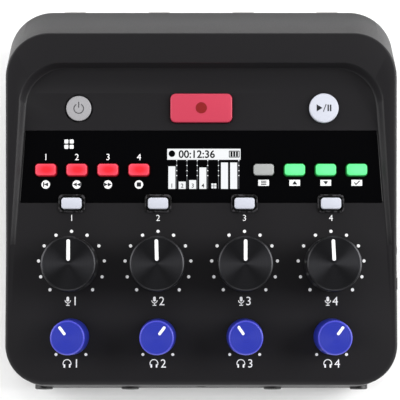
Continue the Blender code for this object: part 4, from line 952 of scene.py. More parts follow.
def wall_holes():
    """Cutters for the openings in the four walls."""
    tools = []
    for k in range(1, 5):
        low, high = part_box(f"headphone_jack_{k}")
        at = Matrix.Translation(((low[0] + high[0]) / 2, FRONT_Y + 6 * MM, (low[2] + high[2]) / 2))
        hole = drum(JACK_COLLAR_RADIUS + CLEARANCE, 0, 8 * MM)
        tools.append(plain_object("jack_hole", hole, at @ FACING_FRONT))
        low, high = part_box(f"xlr_socket_{k}")
        x = (low[0] + high[0]) / 2
        at = Matrix.Translation((x, REAR_Y - 5 * MM, XLR_AXIS_HEIGHT))
        hole = drum(XLR_RADIUS + CLEARANCE, 0, 8 * MM, XLR_STEPS)
        tools.append(plain_object("xlr_hole", hole, at @ FACING_REAR))
        slot = rounded_block(LATCH_WIDTH + 2 * CLEARANCE, LATCH_HEIGHT + 2 * CLEARANCE, 0, 8 * MM, 0)
        lift = Matrix.Translation((0, 0, LATCH_FROM_AXIS + LATCH_HEIGHT / 2))
        tools.append(plain_object("latch_hole", slot, lift @ at @ FACING_REAR))
    at = Matrix.Translation((0, FRONT_Y + 1.2 * MM, 16.5 * MM))
    tools.append(plain_object("centre_recess", drum(1.9 * MM, 0, 4 * MM), at @ FACING_FRONT))
    low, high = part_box("side_jack")
    at = Matrix.Translation((HALF_WIDTH - 4 * MM, (low[1] + high[1]) / 2, (low[2] + high[2]) / 2))
    tools.append(plain_object("side_jack_hole", drum(2.95 * MM, 0, 6 * MM), at @ FACING_RIGHT))
    low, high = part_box("side_switch")
    slot = rounded_block(8 * MM, high[1] - low[1] + 2.2 * MM, 0, 2.6 * MM, 0)
    middle = (HALF_WIDTH, (low[1] + high[1]) / 2 - 1.0 * MM, low[2])
    place = Matrix.Translation(middle) @ Matrix.Rotation(PANEL_TILT, 4, "X")
    tools.append(plain_object("switch_slot", slot, place))
    low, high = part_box("usb_socket")
    usb = rounded_block(8 * MM, high[1] - low[1] + 0.6 * MM, low[2] - CLEARANCE, high[2] + CLEARANCE, 0)
    tools.append(plain_object("usb_hole", usb, Matrix.Translation((-HALF_WIDTH, (low[1] + high[1]) / 2, 0))))
    low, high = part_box("card_socket")
    card = rounded_block(8 * MM, 12 * MM, -0.8 * MM, 0.8 * MM, 0)
    middle = (-HALF_WIDTH, (low[1] + high[1]) / 2, (low[2] + high[2]) / 2)
    tools.append(plain_object("card_hole", card, Matrix.Translation(middle)))
    return tools


def build_upper_case():
    case = plain_object("case_upper", case_shell())
    case.data.materials.append(spark_eroded_abs())
    case.data.materials.append(satin_abs())
    pocket = plain_object("window_pocket", window_block(0, -WINDOW_POCKET, OVERRUN), ON_PANEL)
    dish = drum(POWER_DISH_RADIUS, -POWER_DISH_DEPTH, OVERRUN, 96)
    hollow = plain_object("case_hollow", case_hollow())
    shape_with(case, [hollow, pocket, plain_object("power_dish", dish, on_panel(-ROUND_BUTTON_X, TOP_ROW))])
    bezels = []
    for x in COLUMNS:
        bezel = rounded_block(
            BEZEL_WIDTH, BEZEL_DEPTH, -PANEL_WALL + CLEARANCE, BEZEL_HEIGHT, BEZEL_CORNER, 0.15 * MM
        )
        bezels.append(plain_object("mute_bezel", bezel, on_panel(x, MUTE_ROW)))
    shape_with(case, bezels, "UNION")
    shape_with(case, panel_holes() + wall_holes())
    case.name = "upper_case_shell"
    dress_piece(case, "body", ["upper_case"])


def build_window():
    gap = CLEARANCE / 2
    strip = plain_object("window_strip", window_block(gap, -WINDOW_THICKNESS, 0, 0.12 * MM), ON_PANEL)
    strip.data.materials.append(gloss_acrylic())
    tools = []
    low = -WINDOW_THICKNESS - OVERRUN
    for x in PADS + FUNCTIONS:
        tools.append(plain_object("key_opening", key_hole(low, OVERRUN), on_panel(x, KEY_ROW)))
    for x in COLUMNS:
        notch = rounded_block(
            BEZEL_WIDTH + 2 * CLEARANCE, BEZEL_DEPTH + 2 * CLEARANCE, low, OVERRUN, BEZEL_CORNER + CLEARANCE
        )
        tools.append(plain_object("bezel_notch", notch, on_panel(x, MUTE_ROW)))
    shape_with(strip, tools)
    dress_piece(strip, "body", ["display_window"])


# Knobs


def knob_profile(top_radius, skirt_radius, height, chamfer, wall, ceiling):
    """A hollow knob on its shaft, from the middle of its top round to the shaft's end.

    Material 0 is the top, 1 the chamfer and 2 the wall and the inside.
    """
    inner = skirt_radius - wall
    return [
        (0, height, 0),
        (top_radius - chamfer, height, 1),
        (top_radius - chamfer * 0.35, height - chamfer * 0.25, 1),
        (top_radius, height - chamfer, 2),
        (skirt_radius, KNOB_LIFT + 0.3 * MM, 2),
        (skirt_radius - 0.3 * MM, KNOB_LIFT, 2),
        (inner, KNOB_LIFT, 2),
        (inner, height - ceiling, 2),
        (SHAFT_RADIUS + 1.5 * MM, height - ceiling, 2),
        (SHAFT_RADIUS + 1.5 * MM, KNOB_LIFT, 2),
        (SHAFT_RADIUS, KNOB_LIFT, 2),
        (SHAFT_RADIUS, -SHAFT_DEPTH, 2),
        (0, -SHAFT_DEPTH, 2),
    ]


def build_pointer(name, body, place, width, inner, outer, height, materials):
    """The painted line on a knob, a slab with round ends let into its top."""
    bm = bmesh.new()
    print_bar(bm, 0, (inner + outer) / 2, width, outer - inner, height, 0, width * 0.42)
    finish_piece(name, bm, materials, body, place=place)


def build_gain_knobs():
    materials = [gain_top_plastic(), machined_edge(), knob_side_plastic()]
    profile = knob_profile(
        GAIN_TOP_RADIUS, GAIN_SKIRT_RADIUS, GAIN_HEIGHT, GAIN_CHAMFER, 1.9 * MM, 3.5 * MM
    )
    for k, x in enumerate(COLUMNS):
        number = k + 1
        place = on_panel(x, GAIN_ROW)
        finish_piece(
            f"gain_dial_{number}", turned(profile, KNOB_STEPS), materials, f"gain_knob_{number}",
            [f"gain_knob_{number}"], place, 20.0,
        )
        turn = Matrix.Rotation(GAIN_ANGLES[k], 4, "Z")
        build_pointer(
            f"gain_pointer_{number}", f"gain_knob_{number}", place @ turn, 1.25 * MM, 1.05 * MM, 8.6 * MM,
            GAIN_HEIGHT - 0.01 * MM, [white_ink()],
        )


def build_volume_knobs():
    materials = [blue_top_plastic(), blue_edge_painted_highlight(), blue_side_painted_shade()]
    profile = knob_profile(
        VOLUME_TOP_RADIUS, VOLUME_SKIRT_RADIUS, VOLUME_HEIGHT, VOLUME_CHAMFER, 1.2 * MM, 5.0 * MM
    )
    for k, x in enumerate(COLUMNS):
        number = k + 1
        place = on_panel(x, VOLUME_ROW)
        finish_piece(
            f"volume_dial_{number}", turned(profile, KNOB_STEPS), materials, f"volume_knob_{number}",
            [f"volume_knob_{number}"], place, 20.0,
        )
        turn = Matrix.Rotation(VOLUME_ANGLES[k], 4, "Z")
        build_pointer(
            f"volume_pointer_{number}", f"volume_knob_{number}", place @ turn, 1.0 * MM, 1.3 * MM, 4.9 * MM,
            VOLUME_HEIGHT, [white_ink()],
        )


# Buttons


def key_cap(height):
    """A small key: its domed top, and below it the wider foot that fills the hole."""
    sizes = bpy.context.scene.recorder_sizes
    cap = rounded_block(
        KEY_WIDTH - 2 * KEY_STEP, KEY_DEPTH - 2 * KEY_STEP, -BUTTON_FOOT / 2, height, sizes.key_corner,
        sizes.key_soft,
    )
    old = set(cap.faces)
    foot = plain_object("key_foot", rounded_block(
        KEY_WIDTH, KEY_DEPTH, -BUTTON_FOOT, KEY_FOOT_HEIGHT, sizes.key_corner + KEY_STEP
    ))
    cap.from_mesh(foot.data)
    # The foot takes the second material, which is drawn darker than the cap: painted shade in the gap round
    # the key.
    for face in cap.faces:
        if face not in old:
            face.material_index = 1
    mesh = foot.data
    bpy.data.objects.remove(foot)
    bpy.data.meshes.remove(mesh)
    return cap


def build_keys():
    colours = bpy.context.scene.recorder_colours
    red = silicone("lit_red_silicone", linear("#de0a20"), 0.35, linear("#d23e54"), PADS[0])
    green = silicone("lit_green_silicone", linear("#5edc88"), 0.3, linear("#50d47c"), FUNCTIONS[0])
    grey = silicone("grey_silicone", linear("#a0a2a1"))
    white = silicone("white_silicone", colours.mute_key)
    # The feet show as a thin ring round each cap. Their darker colours are painted shade in the gap round the
    # key; the red and green feet also glow, as light leaking from the keys' backlight.
    red_glow_and_shade_foot = silicone("red_light_leak_and_painted_shade", linear("#760412"), 0.8)
    green_glow_and_shade_foot = silicone("green_light_leak_and_painted_shade", linear("#0e5a22"), 0.8)
    gap_shade_foot = silicone("painted_gap_shade_silicone", linear("#161617"))
    for k in range(4):
        number = k + 1
        finish_piece(
            f"pad_cap_{number}", key_cap(KEY_HEIGHT), [red, red_glow_and_shade_foot], f"pad_button_{number}",
            [f"pad_button_{number}"], on_panel(PADS[k], KEY_ROW),
        )
        finish_piece(
            f"function_cap_{number}", key_cap(KEY_HEIGHT),
            [green, green_glow_and_shade_foot] if k else [grey, gap_shade_foot], f"function_button_{number}",
            [f"function_button_{number}"],
            on_panel(FUNCTIONS[k], KEY_ROW),
        )
        finish_piece(
            f"mute_cap_{number}", key_cap(MUTE_HEIGHT), [white, gap_shade_foot], f"mute_button_{number}",
            [f"mute_button_{number}"], on_panel(COLUMNS[k], MUTE_ROW),
        )


def build_record_button():
    colours = bpy.context.scene.recorder_colours
    coral = silicone("coral_silicone", colours.record_key)
    cap = rounded_block(
        RECORD_WIDTH, RECORD_DEPTH, -BUTTON_FOOT, RECORD_HEIGHT - 0.04 * MM, RECORD_CORNER, 0.5 * MM, 12
    )
    print_disc(cap, 0, 0, 2.05 * MM, RECORD_HEIGHT - 0.04 * MM, 1, 48)
    finish_piece(
        "record_cap", cap, [coral, red_ink()], "record_button", ["record_button"],
        on_panel(0, TOP_ROW),
    )


def build_power_button():
    grey = silicone("pale_grey_silicone", linear("#9d9c9f"))
    level = POWER_HEIGHT - 0.04 * MM
    profile = [(0, level)] + rounded_edge(POWER_RADIUS, level, 0.3 * MM)
    profile += [(POWER_RADIUS, -BUTTON_FOOT), (0, -BUTTON_FOOT)]
    cap = turned(profile, 96)
    print_band(cap, 0, -0.1 * MM, 1.75 * MM, 0.36 * MM, 120, 420, level, 1)
    print_bar(cap, 0, 1.3 * MM, 0.36 * MM, 2.2 * MM, level, 1, 0.12 * MM)
    finish_piece(
        "power_cap", cap, [grey, grey_ink()], "power_button", ["power_button"],
        on_panel(-ROUND_BUTTON_X, TOP_ROW),
    )


def build_play_button():
    colours = bpy.context.scene.recorder_colours
    white = silicone("play_white_silicone", colours.mute_key)
    level = PLAY_HEIGHT - 0.04 * MM
    profile = [(0, level)] + rounded_edge(PLAY_RADIUS, level, 0.5 * MM, 5)
    profile += [(PLAY_RADIUS, -BUTTON_FOOT), (0, -BUTTON_FOOT)]
    cap = turned(profile, 96)
    triangle = [(-2.7 * MM, 1.3 * MM), (-2.7 * MM, -1.3 * MM), (-0.6 * MM, 0)]
    print_polygon(cap, triangle, level, 1)
    print_bar(cap, 0.25 * MM, 0, 0.3 * MM, 2.9 * MM, level, 1, 0, math.radians(-20))
    for x in (1.5 * MM, 2.4 * MM):
        print_bar(cap, x, 0, 0.5 * MM, 2.4 * MM, level, 1)
    finish_piece(
        "play_cap", cap, [white, dark_ink()], "play_button", ["play_button"],
        on_panel(ROUND_BUTTON_X, TOP_ROW),
    )


# Marks on the panel and the window


def microphone_mark(bm, x, row):
    """A capsule, the bow round it, its stem and its foot."""
    print_bar(bm, x, row + 0.75 * MM, 1.0 * MM, 1.75 * MM, 0, 0, 0.48 * MM)
    print_band(bm, x, row + 0.3 * MM, 0.98 * MM, 0.28 * MM, 180, 360, 0, 0, 16)
    print_bar(bm, x, row - 1.05 * MM, 0.28 * MM, 0.75 * MM)
    print_bar(bm, x, row - 1.5 * MM, 1.35 * MM, 0.3 * MM)


def headphone_mark(bm, x, row):
    """A band over two ear cups."""
    print_band(bm, x, row, 1.42 * MM, 0.3 * MM, -25, 205, 0, 0, 24)
    for side in (-1, 1):
        print_bar(bm, x + side * 0.95 * MM, row - 0.85 * MM, 0.6 * MM, 1.25 * MM, 0, 0, 0.2 * MM)


def build_panel_marks():
    bm = bmesh.new()
    for k, x in enumerate(COLUMNS):
        number = str(k + 1)
        microphone_mark(bm, x - 1.25 * MM, -36.7 * MM)
        print_text(bm, number, x + 1.4 * MM, -36.65 * MM, 3.1 * MM)
        headphone_mark(bm, x - 1.4 * MM, -59.2 * MM)
        print_text(bm, number, x + 2.0 * MM, -59.15 * MM, 3.0 * MM)
        print_text(bm, number, x, -6.5 * MM, 2.2 * MM)
        for step in range(-5, 6):
            a = math.radians(90 - 28 * step)
            radius = 12.0 * MM
            print_disc(bm, x + radius * math.cos(a), GAIN_ROW + radius * math.sin(a), 0.6 * MM, 0, 0, 16)
        for step in (-1, 1):
            a = math.radians(90 - 140 * step)
            radius = 8.4 * MM
            print_disc(bm, x + radius * math.cos(a), VOLUME_ROW + radius * math.sin(a), 0.55 * MM, 0, 0, 16)
    finish_piece("panel_marks", bm, [white_ink()], "body", place=ON_PANEL)


def function_mark(bm, k, x, row):
    """The sign under a function key: lines, arrow up, arrow down or tick, dark on a pale plate."""
    print_bar(bm, x, row, 3.9 * MM, 2.2 * MM)
    level = INK_ABOVE
    size = 0.9 * MM
    if k == 0:
        for step in (-1, 0, 1):
            print_bar(bm, x, row + step * 0.58 * MM, 2.0 * MM, 0.32 * MM, level, 1)
    elif k in (1, 2):
        up = 1 if k == 1 else -1
        points = [(x - size, row - up * 0.6 * MM), (x + size, row - up * 0.6 * MM), (x, row + up * 0.7 * MM)]
        print_polygon(bm, points, level, 1)
    else:
        print_bar(bm, x - 0.55 * MM, row - 0.25 * MM, 0.36 * MM, 1.1 * MM, level, 1, 0, math.radians(45))
        print_bar(bm, x + 0.3 * MM, row, 0.36 * MM, 2.1 * MM, level, 1, 0, math.radians(-45))


def transport_mark(bm, k, x, row):
    """Skip back, rewind, fast forward or stop, dark on a pale disc under a sound pad."""
    print_disc(bm, x, row, 1.55 * MM)
    level = INK_ABOVE
    size = 0.72 * MM

    def triangle(at, side):
        points = [(at + side * size, row + size), (at + side * size, row - size), (at - side * size, row)]
        print_polygon(bm, points, level, 1)

    if k == 0:
        print_bar(bm, x - 0.75 * MM, row, 0.42 * MM, 1.6 * MM, level, 1)
        triangle(x + 0.15 * MM, 1)
    elif k in (1, 2):
        side = 1 if k == 1 else -1
        for step in (-1, 1):
            triangle(x + step * size, side)
    else:
        print_bar(bm, x, row, 1.55 * MM, 1.55 * MM, level, 1)


def build_window_marks():
    bm = bmesh.new()
    for k, x in enumerate(PADS):
        print_text(bm, str(k + 1), x, 15.7 * MM, 2.3 * MM)
        transport_mark(bm, k, x, 5.65 * MM)
    for k, x in enumerate(FUNCTIONS):
        function_mark(bm, k, x, 6.27 * MM)
    for column in (-1, 1):
        for line in (-1, 1):
            print_bar(
                bm, -48.2 * MM + column * 0.97 * MM, 20.4 * MM + line * 0.97 * MM, 1.45 * MM, 1.45 * MM,
                0, 0, 0.3 * MM,
            )
    finish_piece("window_marks", bm, [white_ink(), dark_ink()], "body", place=ON_PANEL)


def build_display_picture():
    """What the display shows: a bar with the running time and a battery, and level meters below."""
    white = 0
    black = 1
    grey = 2
    bm = bmesh.new()
    left = -12.4 * MM
    right = 14.3 * MM
    print_bar(bm, (left + right) / 2, 16.7 * MM, right - left, 4.0 * MM, 0, white)
    level = INK_ABOVE
    print_disc(bm, -10.7 * MM, 16.9 * MM, 1.2 * MM, level, black)
    print_text(bm, "00:12:36", -1.65 * MM, 16.75 * MM, 2.9 * MM, level, black, 0.02)
    print_bar(bm, 12.0 * MM, 16.75 * MM, 3.9 * MM, 2.5 * MM, level, black, 0.2 * MM)
    print_bar(bm, 12.0 * MM, 16.75 * MM, 3.3 * MM, 1.9 * MM, 2 * level, white)
    for step in (-1, 0, 1):
        print_bar(bm, 12.0 * MM + step * 1.0 * MM, 16.75 * MM, 0.72 * MM, 1.8 * MM, 3 * level, black)
    meters = (
        (-10.71, 12.29), (-6.95, 6.71), (-3.13, 7.26), (0.58, 11.86), (8.45, 13.68), (11.8, 13.68),
    )
    bottom = 4.05
    for k, (x, top) in enumerate(meters):
        print_bar(bm, x * MM, (bottom + top) / 2 * MM, 2.55 * MM, (top - bottom) * MM, 0, white)
        if k < 4:
            print_text(bm, str(k + 1), x * MM, (bottom + 1.2) * MM, 1.5 * MM, level, black, 0.01)
    for x in (-8.96, -5.21, -1.46, 2.33, 6.26, 13.66):
        print_bar(bm, x * MM, 9.3 * MM, 0.18 * MM, 10.4 * MM, 0, grey)
        for row in (8.9, 10.7, 12.6, 14.4):
            print_disc(bm, x * MM, row * MM, 0.22 * MM, level, white, 10)
    for column in (-1, 1):
        for line in (-1, 1):
            print_bar(bm, (4.58 + column * 0.5) * MM, (5.14 + line * 0.5) * MM, 0.8 * MM, 0.8 * MM, 0, white)
    materials = [
        screen_light("screen_white", "#eef0f2"), screen_light("screen_black", "#101114", 0.3),
        screen_light("screen_grey", "#6a6c70"),
    ]
    finish_piece("display_picture", bm, materials, "body", place=ON_PANEL)


# Sockets


def build_xlr_sockets():
    """Female panel sockets: a rim, a bore and a keyed insert with three gold contacts in its holes."""
    bore_floor = -XLR_BORE_DEPTH
    insert_top = -XLR_INSERT_SETBACK
    profile = [
        (0, insert_top), (XLR_INSERT_RADIUS - 0.3 * MM, insert_top),
        (XLR_INSERT_RADIUS, insert_top - 0.3 * MM), (XLR_INSERT_RADIUS, bore_floor),
        (XLR_BORE_RADIUS, bore_floor), (XLR_BORE_RADIUS, -0.4 * MM), (XLR_BORE_RADIUS + 0.3 * MM, 0),
        (XLR_RADIUS - 0.2 * MM, 0), (XLR_RADIUS, -0.2 * MM), (XLR_RADIUS, -20 * MM), (0, -20 * MM),
    ]
    for k, x in enumerate(COLUMNS):
        number = k + 1
        place = Matrix.Translation((x, XLR_FACE_Y, XLR_AXIS_HEIGHT)) @ FACING_REAR
        socket = plain_object(f"xlr_body_{number}", turned(profile, XLR_STEPS), place)
        socket.data.materials.append(socket_plastic())
        tools = []
        for a in (0, 90, 180):
            spot = Matrix.Rotation(math.radians(a), 4, "Z") @ Matrix.Translation((XLR_PIN_CIRCLE, 0, 0))
            tools.append(plain_object("pin_hole", drum(XLR_PIN_RADIUS, -10 * MM, OVERRUN, 32), place @ spot))
        keyway = rounded_block(1.8 * MM, 3.0 * MM, -12 * MM, OVERRUN, 0)
        spot = Matrix.Translation((0, -XLR_INSERT_RADIUS, 0))
        tools.append(plain_object("keyway", keyway, place @ spot))
        notch = rounded_block(LATCH_WIDTH + 2 * CLEARANCE, LATCH_HEIGHT + 2 * CLEARANCE, -12 * MM, OVERRUN, 0)
        spot = Matrix.Translation((0, -LATCH_FROM_AXIS - LATCH_HEIGHT / 2, 0))
        tools.append(plain_object("latch_notch", notch, place @ spot))
        shape_with(socket, tools)
        dress_piece(socket, "body", [f"xlr_socket_{number}"])
        contacts = bmesh.new()
        for a in (0, 90, 180):
            spot = Matrix.Rotation(math.radians(a), 4, "Z") @ Matrix.Translation((XLR_PIN_CIRCLE, 0, -8 * MM))
            bmesh.ops.create_cone(
                contacts, cap_ends=True, segments=24, radius1=1.0 * MM, radius2=1.0 * MM, depth=3.8 * MM,
                matrix=spot,
            )
        finish_piece(f"xlr_contacts_{number}", contacts, [gold_plate()], "body", place=place)


def build_latches():
    for k in range(4):
        number = k + 1
        low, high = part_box(f"xlr_latch_{number}")
        size = [high[i] - low[i] for i in range(3)]
        bm = rounded_block(size[0], size[2], 0, size[1] - 0.3 * MM, 0.4 * MM, 0.5 * MM)
        middle = ((low[0] + high[0]) / 2, low[1], (low[2] + high[2]) / 2)
        finish_piece(
            f"latch_tab_{number}", bm, [nickel_plate()], f"xlr_latch_{number}",
            [f"xlr_latch_{number}"], Matrix.Translation(middle) @ FACING_REAR,
        )


def jack_mesh(collar_radius, proud, length):
    """A collar with a bore and a contact ring inside."""
    profile = [
        (0, -length), (JACK_BORE_RADIUS, -length, 1), (JACK_BORE_RADIUS, -2.2 * MM, 1),
        (JACK_BORE_RADIUS, -1.2 * MM), (JACK_BORE_RADIUS, -0.3 * MM), (JACK_BORE_RADIUS + 0.3 * MM, 0),
        (collar_radius - 0.25 * MM, 0), (collar_radius, -0.25 * MM), (collar_radius, -length - 1 * MM),
        (0, -length - 1 * MM),
    ]
    return turned(profile, JACK_STEPS)


def build_jacks():
    for number in range(1, 5):
        low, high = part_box(f"headphone_jack_{number}")
        place = Matrix.Translation(((low[0] + high[0]) / 2, low[1], (low[2] + high[2]) / 2)) @ FACING_FRONT
        finish_piece(
            f"jack_collar_{number}", jack_mesh(JACK_COLLAR_RADIUS, 0.8 * MM, 12 * MM),
            [socket_plastic(), nickel_plate()], "body", [f"headphone_jack_{number}"], place,
        )
    low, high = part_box("side_jack")
    place = Matrix.Translation((high[0], (low[1] + high[1]) / 2, (low[2] + high[2]) / 2)) @ FACING_RIGHT
    finish_piece(
        "side_jack_collar", jack_mesh(2.65 * MM, 1.6 * MM, 12 * MM), [socket_plastic(), nickel_plate()],
        "body", ["side_jack"], place,
    )


def build_screws():
    """Case screws with a cross recess, sunk into the underside."""
    places = [(side, y) for y in (SCREW_FRONT_Y, SCREW_REAR_Y) for side in (-1, 1)]
    for number, (side, y) in enumerate(places):
        profile = [(0, 0.8 * MM), (2.2 * MM, 0.8 * MM), (2.5 * MM, 0.55 * MM), (2.5 * MM, 0.1 * MM)]
        profile += [(1.4 * MM, 0.1 * MM), (1.4 * MM, -4 * MM), (0, -4 * MM)]
        place = Matrix.Translation((side * SCREW_X, y, SCREW_SEAT_Z)) @ Matrix.Rotation(math.pi, 4, "X")
        screw = plain_object(f"case_screw_{number + 1}", turned(profile, 40), place)
        screw.data.materials.append(zinc_plate())
        slots = []
        for turn in (0, 90):
            slot = rounded_block(0.7 * MM, 3.0 * MM, 0.3 * MM, 2 * MM, 0)
            spot = place @ Matrix.Rotation(math.radians(turn), 4, "Z")
            slots.append(plain_object("screw_slot", slot, spot))
        shape_with(screw, slots)
        dress_piece(screw, "body", [])


def dress_nodes(names, material):
    """Gives CAD nodes whose shape is right their material."""
    for name in names:
        mesh = frame["nodes"][name].data
        if not mesh.materials:
            mesh.materials.append(material)
        for slot in range(len(mesh.materials)):
            mesh.materials[slot] = material


def dress_carried_nodes():
    dress_nodes(["lower_case", "battery_door"], satin_abs())
    dress_nodes([f"foot_{k}" for k in range(1, 5)], foot_rubber())
    dress_nodes(["control_board", "io_board"], solder_mask())
    dress_nodes([f"gain_pot_{k}" for k in range(1, 5)], pot_housing())
    dress_nodes([f"volume_pot_{k}" for k in range(1, 5)], pot_housing())
    dress_nodes(["display_module"], gloss_acrylic())
    dress_nodes(["battery_contact_front", "battery_contact_rear"], nickel_plate())
    dress_nodes(["usb_socket", "card_socket"], nickel_plate())
    dress_nodes(["side_switch"], socket_plastic())


# Stage


def build_floor():
    bm = bmesh.new()
    bmesh.ops.create_grid(bm, x_segments=1, y_segments=1, size=2.0)
    mesh = bpy.data.meshes.new("studio_floor")
    bm.to_mesh(mesh)
    bm.free()
    material, tree, shader = start_material("painted_floor")
    noise = grain(tree, 40 * MM)
    white = blended(tree, noise, rgba(linear("#fbfbfb")), rgba(linear("#ffffff")))
    set_inputs(tree, shader, {"Base Color": white, "Roughness": 0.9, "Specular IOR Level": 0.1})
    mesh.materials.append(material)
    floor = bpy.data.objects.new("studio_floor", mesh)
    bpy.context.scene.collection.objects.link(floor)


def add_softbox(name, at, size, watts, target=(0, 0, 0.03)):
    """A square soft light that faces the recorder."""
    light = bpy.data.lights.new(name, "AREA")
    light.shape = "RECTANGLE"
    light.size, light.size_y = size
    light.energy = watts
    lamp = bpy.data.objects.new(name, light)
    lamp.location = at
    direction = Matrix.Translation(at).translation - Matrix.Translation(target).translation
    lamp.rotation_euler = direction.to_track_quat("Z", "Y").to_euler()
    bpy.context.scene.collection.objects.link(lamp)


def build_world():
    """White behind the scene and at its horizon, dark overhead, as in a studio with a black ceiling."""
    world = bpy.data.worlds.new("studio")
    world.use_nodes = True
    tree = world.node_tree
    tree.nodes.clear()
    direction = add_node(tree, "ShaderNodeTexCoord").outputs["Generated"]
    up = add_node(tree, "ShaderNodeSeparateXYZ", {0: direction}).outputs[2]
    share = mapped(tree, up, 1.0, 0.0, 0.35, 0.75)
    sky = blended(tree, share, (0.012, 0.012, 0.013, 1), (1, 1, 1, 1))
    path = add_node(tree, "ShaderNodeLightPath")
    sky = blended(tree, path.outputs["Is Glossy Ray"], (1, 1, 1, 1), sky)
    straight = add_node(
        tree, "ShaderNodeMath", {0: path.outputs["Is Camera Ray"], 1: path.outputs["Is Transmission Ray"]},
        operation="MAXIMUM",
    )
    seen = add_node(
        tree, "ShaderNodeMath", {0: straight.outputs[0], 1: path.outputs["Is Glossy Ray"]}, operation="MAXIMUM"
    )
    strength = mapped(tree, seen.outputs[0], 0.6, 1.0, 0.0, 1.0)
    background = add_node(tree, "ShaderNodeBackground", {"Color": sky, "Strength": strength})
    add_node(tree, "ShaderNodeOutputWorld", {"Surface": background.outputs[0]})
    bpy.context.scene.world = world


def build_camera():
    distance = 560 * MM
    lean = math.radians(9.5)
    target = (0, PANEL_Y, 35 * MM)
    camera = bpy.data.cameras.new("camera")
    camera.lens = 138.6
    camera.sensor_width = 36
    camera.shift_x = -0.0032
    holder = bpy.data.objects.new("camera", camera)
    holder.location = (0, target[1] - distance * math.sin(lean), target[2] + distance * math.cos(lean))
    holder.rotation_euler = (lean, 0, 0)
    bpy.context.scene.collection.objects.link(holder)
    bpy.context.scene.camera = holder


def build_stage():
    build_floor()
    build_world()
    build_camera()
    add_softbox("softbox_left", (-0.75, 0.1, 0.45), (0.5, 0.9), 4.5)
    add_softbox("softbox_right", (0.75, 0.1, 0.45), (0.5, 0.9), 8.0)
    add_softbox("softbox_rear", (0.0, 0.8, 0.5), (0.9, 0.4), 3.3)
    add_softbox("softbox_front", (0.0, -0.9, 0.6), (0.9, 0.3), 1.5)
    scene = bpy.context.scene
    scene.view_settings.view_transform = "Standard"


# The add-on: settings, one operator for each piece or group of like pieces, and a panel


class RecorderSizes(bpy.types.PropertyGroup):
    case_edge: bpy.props.FloatProperty(
        name="Case edge", description="Radius of the case's upper edge", default=1.0 * MM, unit="LENGTH"
    )
    key_corner: bpy.props.FloatProperty(
        name="Key corner", description="Corner radius of the small keys", default=1.1 * MM, unit="LENGTH"
    )
    key_soft: bpy.props.FloatProperty(
        name="Key edge", description="Radius of the keys' top edges", default=0.4 * MM, unit="LENGTH"
    )


class RecorderColours(bpy.types.PropertyGroup):
    case: bpy.props.FloatVectorProperty(
        name="Case", description="Colour of the case's plastic", default=linear("#1e1d1f"), subtype="COLOR"
    )
    headphone_knob: bpy.props.FloatVectorProperty(
        name="Headphone knobs", description="Colour of the four small knobs", default=linear("#1f2c9e"),
        subtype="COLOR",
    )
    record_key: bpy.props.FloatVectorProperty(
        name="Record key", description="Colour of the large key", default=linear("#c0344e"), subtype="COLOR"
    )
    mute_key: bpy.props.FloatVectorProperty(
        name="Mute keys", description="Colour of the four mute keys", default=linear("#c4c7d2"),
        subtype="COLOR",
    )


class RECORDER_OT_upper_case(bpy.types.Operator):
    """Moulded upper case with its rim, recess and openings"""

    bl_idname = "recorder.upper_case"
    bl_label = "Upper case"

    def execute(self, context):
        build_upper_case()
        return {"FINISHED"}


class RECORDER_OT_window(bpy.types.Operator):
    """Glossy window strip over the display and round the keys"""

    bl_idname = "recorder.window"
    bl_label = "Window strip"

    def execute(self, context):
        build_window()
        return {"FINISHED"}


class RECORDER_OT_display(bpy.types.Operator):
    """Lit picture behind the window"""

    bl_idname = "recorder.display"
    bl_label = "Display picture"

    def execute(self, context):
        build_display_picture()
        return {"FINISHED"}


class RECORDER_OT_gain_knobs(bpy.types.Operator):
    """Four large knobs with spun tops and white pointers"""

    bl_idname = "recorder.gain_knobs"
    bl_label = "Gain knobs"

    def execute(self, context):
        build_gain_knobs()
        return {"FINISHED"}


class RECORDER_OT_volume_knobs(bpy.types.Operator):
    """Four small blue knobs with white pointers"""

    bl_idname = "recorder.volume_knobs"
    bl_label = "Headphone knobs"

    def execute(self, context):
        build_volume_knobs()
        return {"FINISHED"}


class RECORDER_OT_keys(bpy.types.Operator):
    """Sound pad, function and mute keys"""

    bl_idname = "recorder.keys"
    bl_label = "Small keys"

    def execute(self, context):
        build_keys()
        return {"FINISHED"}


class RECORDER_OT_record_button(bpy.types.Operator):
    """Large coral key with its dot"""

    bl_idname = "recorder.record_button"
    bl_label = "Record key"

    def execute(self, context):
        build_record_button()
        return {"FINISHED"}


class RECORDER_OT_round_buttons(bpy.types.Operator):
    """Round power and play buttons with their signs"""

    bl_idname = "recorder.round_buttons"
    bl_label = "Round buttons"

    def execute(self, context):
        build_power_button()
        build_play_button()
        return {"FINISHED"}


class RECORDER_OT_marks(bpy.types.Operator):
    """Printed dots, figures and signs"""

    bl_idname = "recorder.marks"
    bl_label = "Printed marks"

    def execute(self, context):
        build_panel_marks()
        build_window_marks()
        return {"FINISHED"}


class RECORDER_OT_xlr_sockets(bpy.types.Operator):
    """Four microphone sockets with their latches"""

    bl_idname = "recorder.xlr_sockets"
    bl_label = "Microphone sockets"

    def execute(self, context):
        build_xlr_sockets()
        build_latches()
        return {"FINISHED"}


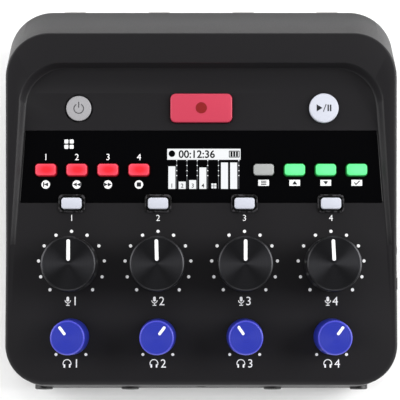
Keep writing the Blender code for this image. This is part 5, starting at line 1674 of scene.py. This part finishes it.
class RECORDER_OT_jacks(bpy.types.Operator):
    """Headphone jacks and the side jack"""

    bl_idname = "recorder.jacks"
    bl_label = "Jacks"

    def execute(self, context):
        build_jacks()
        return {"FINISHED"}


class RECORDER_OT_underside(bpy.types.Operator):
    """Screws, and the materials of the pieces whose form the model already has"""

    bl_idname = "recorder.underside"
    bl_label = "Screws and carried pieces"

    def execute(self, context):
        build_screws()
        dress_carried_nodes()
        return {"FINISHED"}


class RECORDER_OT_stage(bpy.types.Operator):
    """Floor, light and camera"""

    bl_idname = "recorder.stage"
    bl_label = "Stage"

    def execute(self, context):
        build_stage()
        return {"FINISHED"}


OPERATORS = [
    RECORDER_OT_upper_case, RECORDER_OT_window, RECORDER_OT_display, RECORDER_OT_gain_knobs,
    RECORDER_OT_volume_knobs, RECORDER_OT_keys, RECORDER_OT_record_button, RECORDER_OT_round_buttons,
    RECORDER_OT_marks, RECORDER_OT_xlr_sockets, RECORDER_OT_jacks, RECORDER_OT_underside,
    RECORDER_OT_stage,
]


class RECORDER_PT_pieces(bpy.types.Panel):
    bl_label = "Podcast recorder"
    bl_space_type = "VIEW_3D"
    bl_region_type = "UI"
    bl_category = "Recorder"

    def draw(self, context):
        for group in (context.scene.recorder_sizes, context.scene.recorder_colours):
            for name in group.__annotations__:
                self.layout.prop(group, name)
        for kind in OPERATORS:
            self.layout.operator(kind.bl_idname)


CLASSES = [RecorderSizes, RecorderColours] + OPERATORS + [RECORDER_PT_pieces]


def register():
    for kind in CLASSES:
        bpy.utils.register_class(kind)
    bpy.types.Scene.recorder_sizes = bpy.props.PointerProperty(type=RecorderSizes)
    bpy.types.Scene.recorder_colours = bpy.props.PointerProperty(type=RecorderColours)


def unregister():
    del bpy.types.Scene.recorder_colours
    del bpy.types.Scene.recorder_sizes
    for kind in reversed(CLASSES):
        bpy.utils.unregister_class(kind)


def main():
    register()
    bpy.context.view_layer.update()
    for kind in OPERATORS:
        getattr(bpy.ops.recorder, kind.bl_idname.split(".")[1])()


if __name__ == "__main__":
    main()
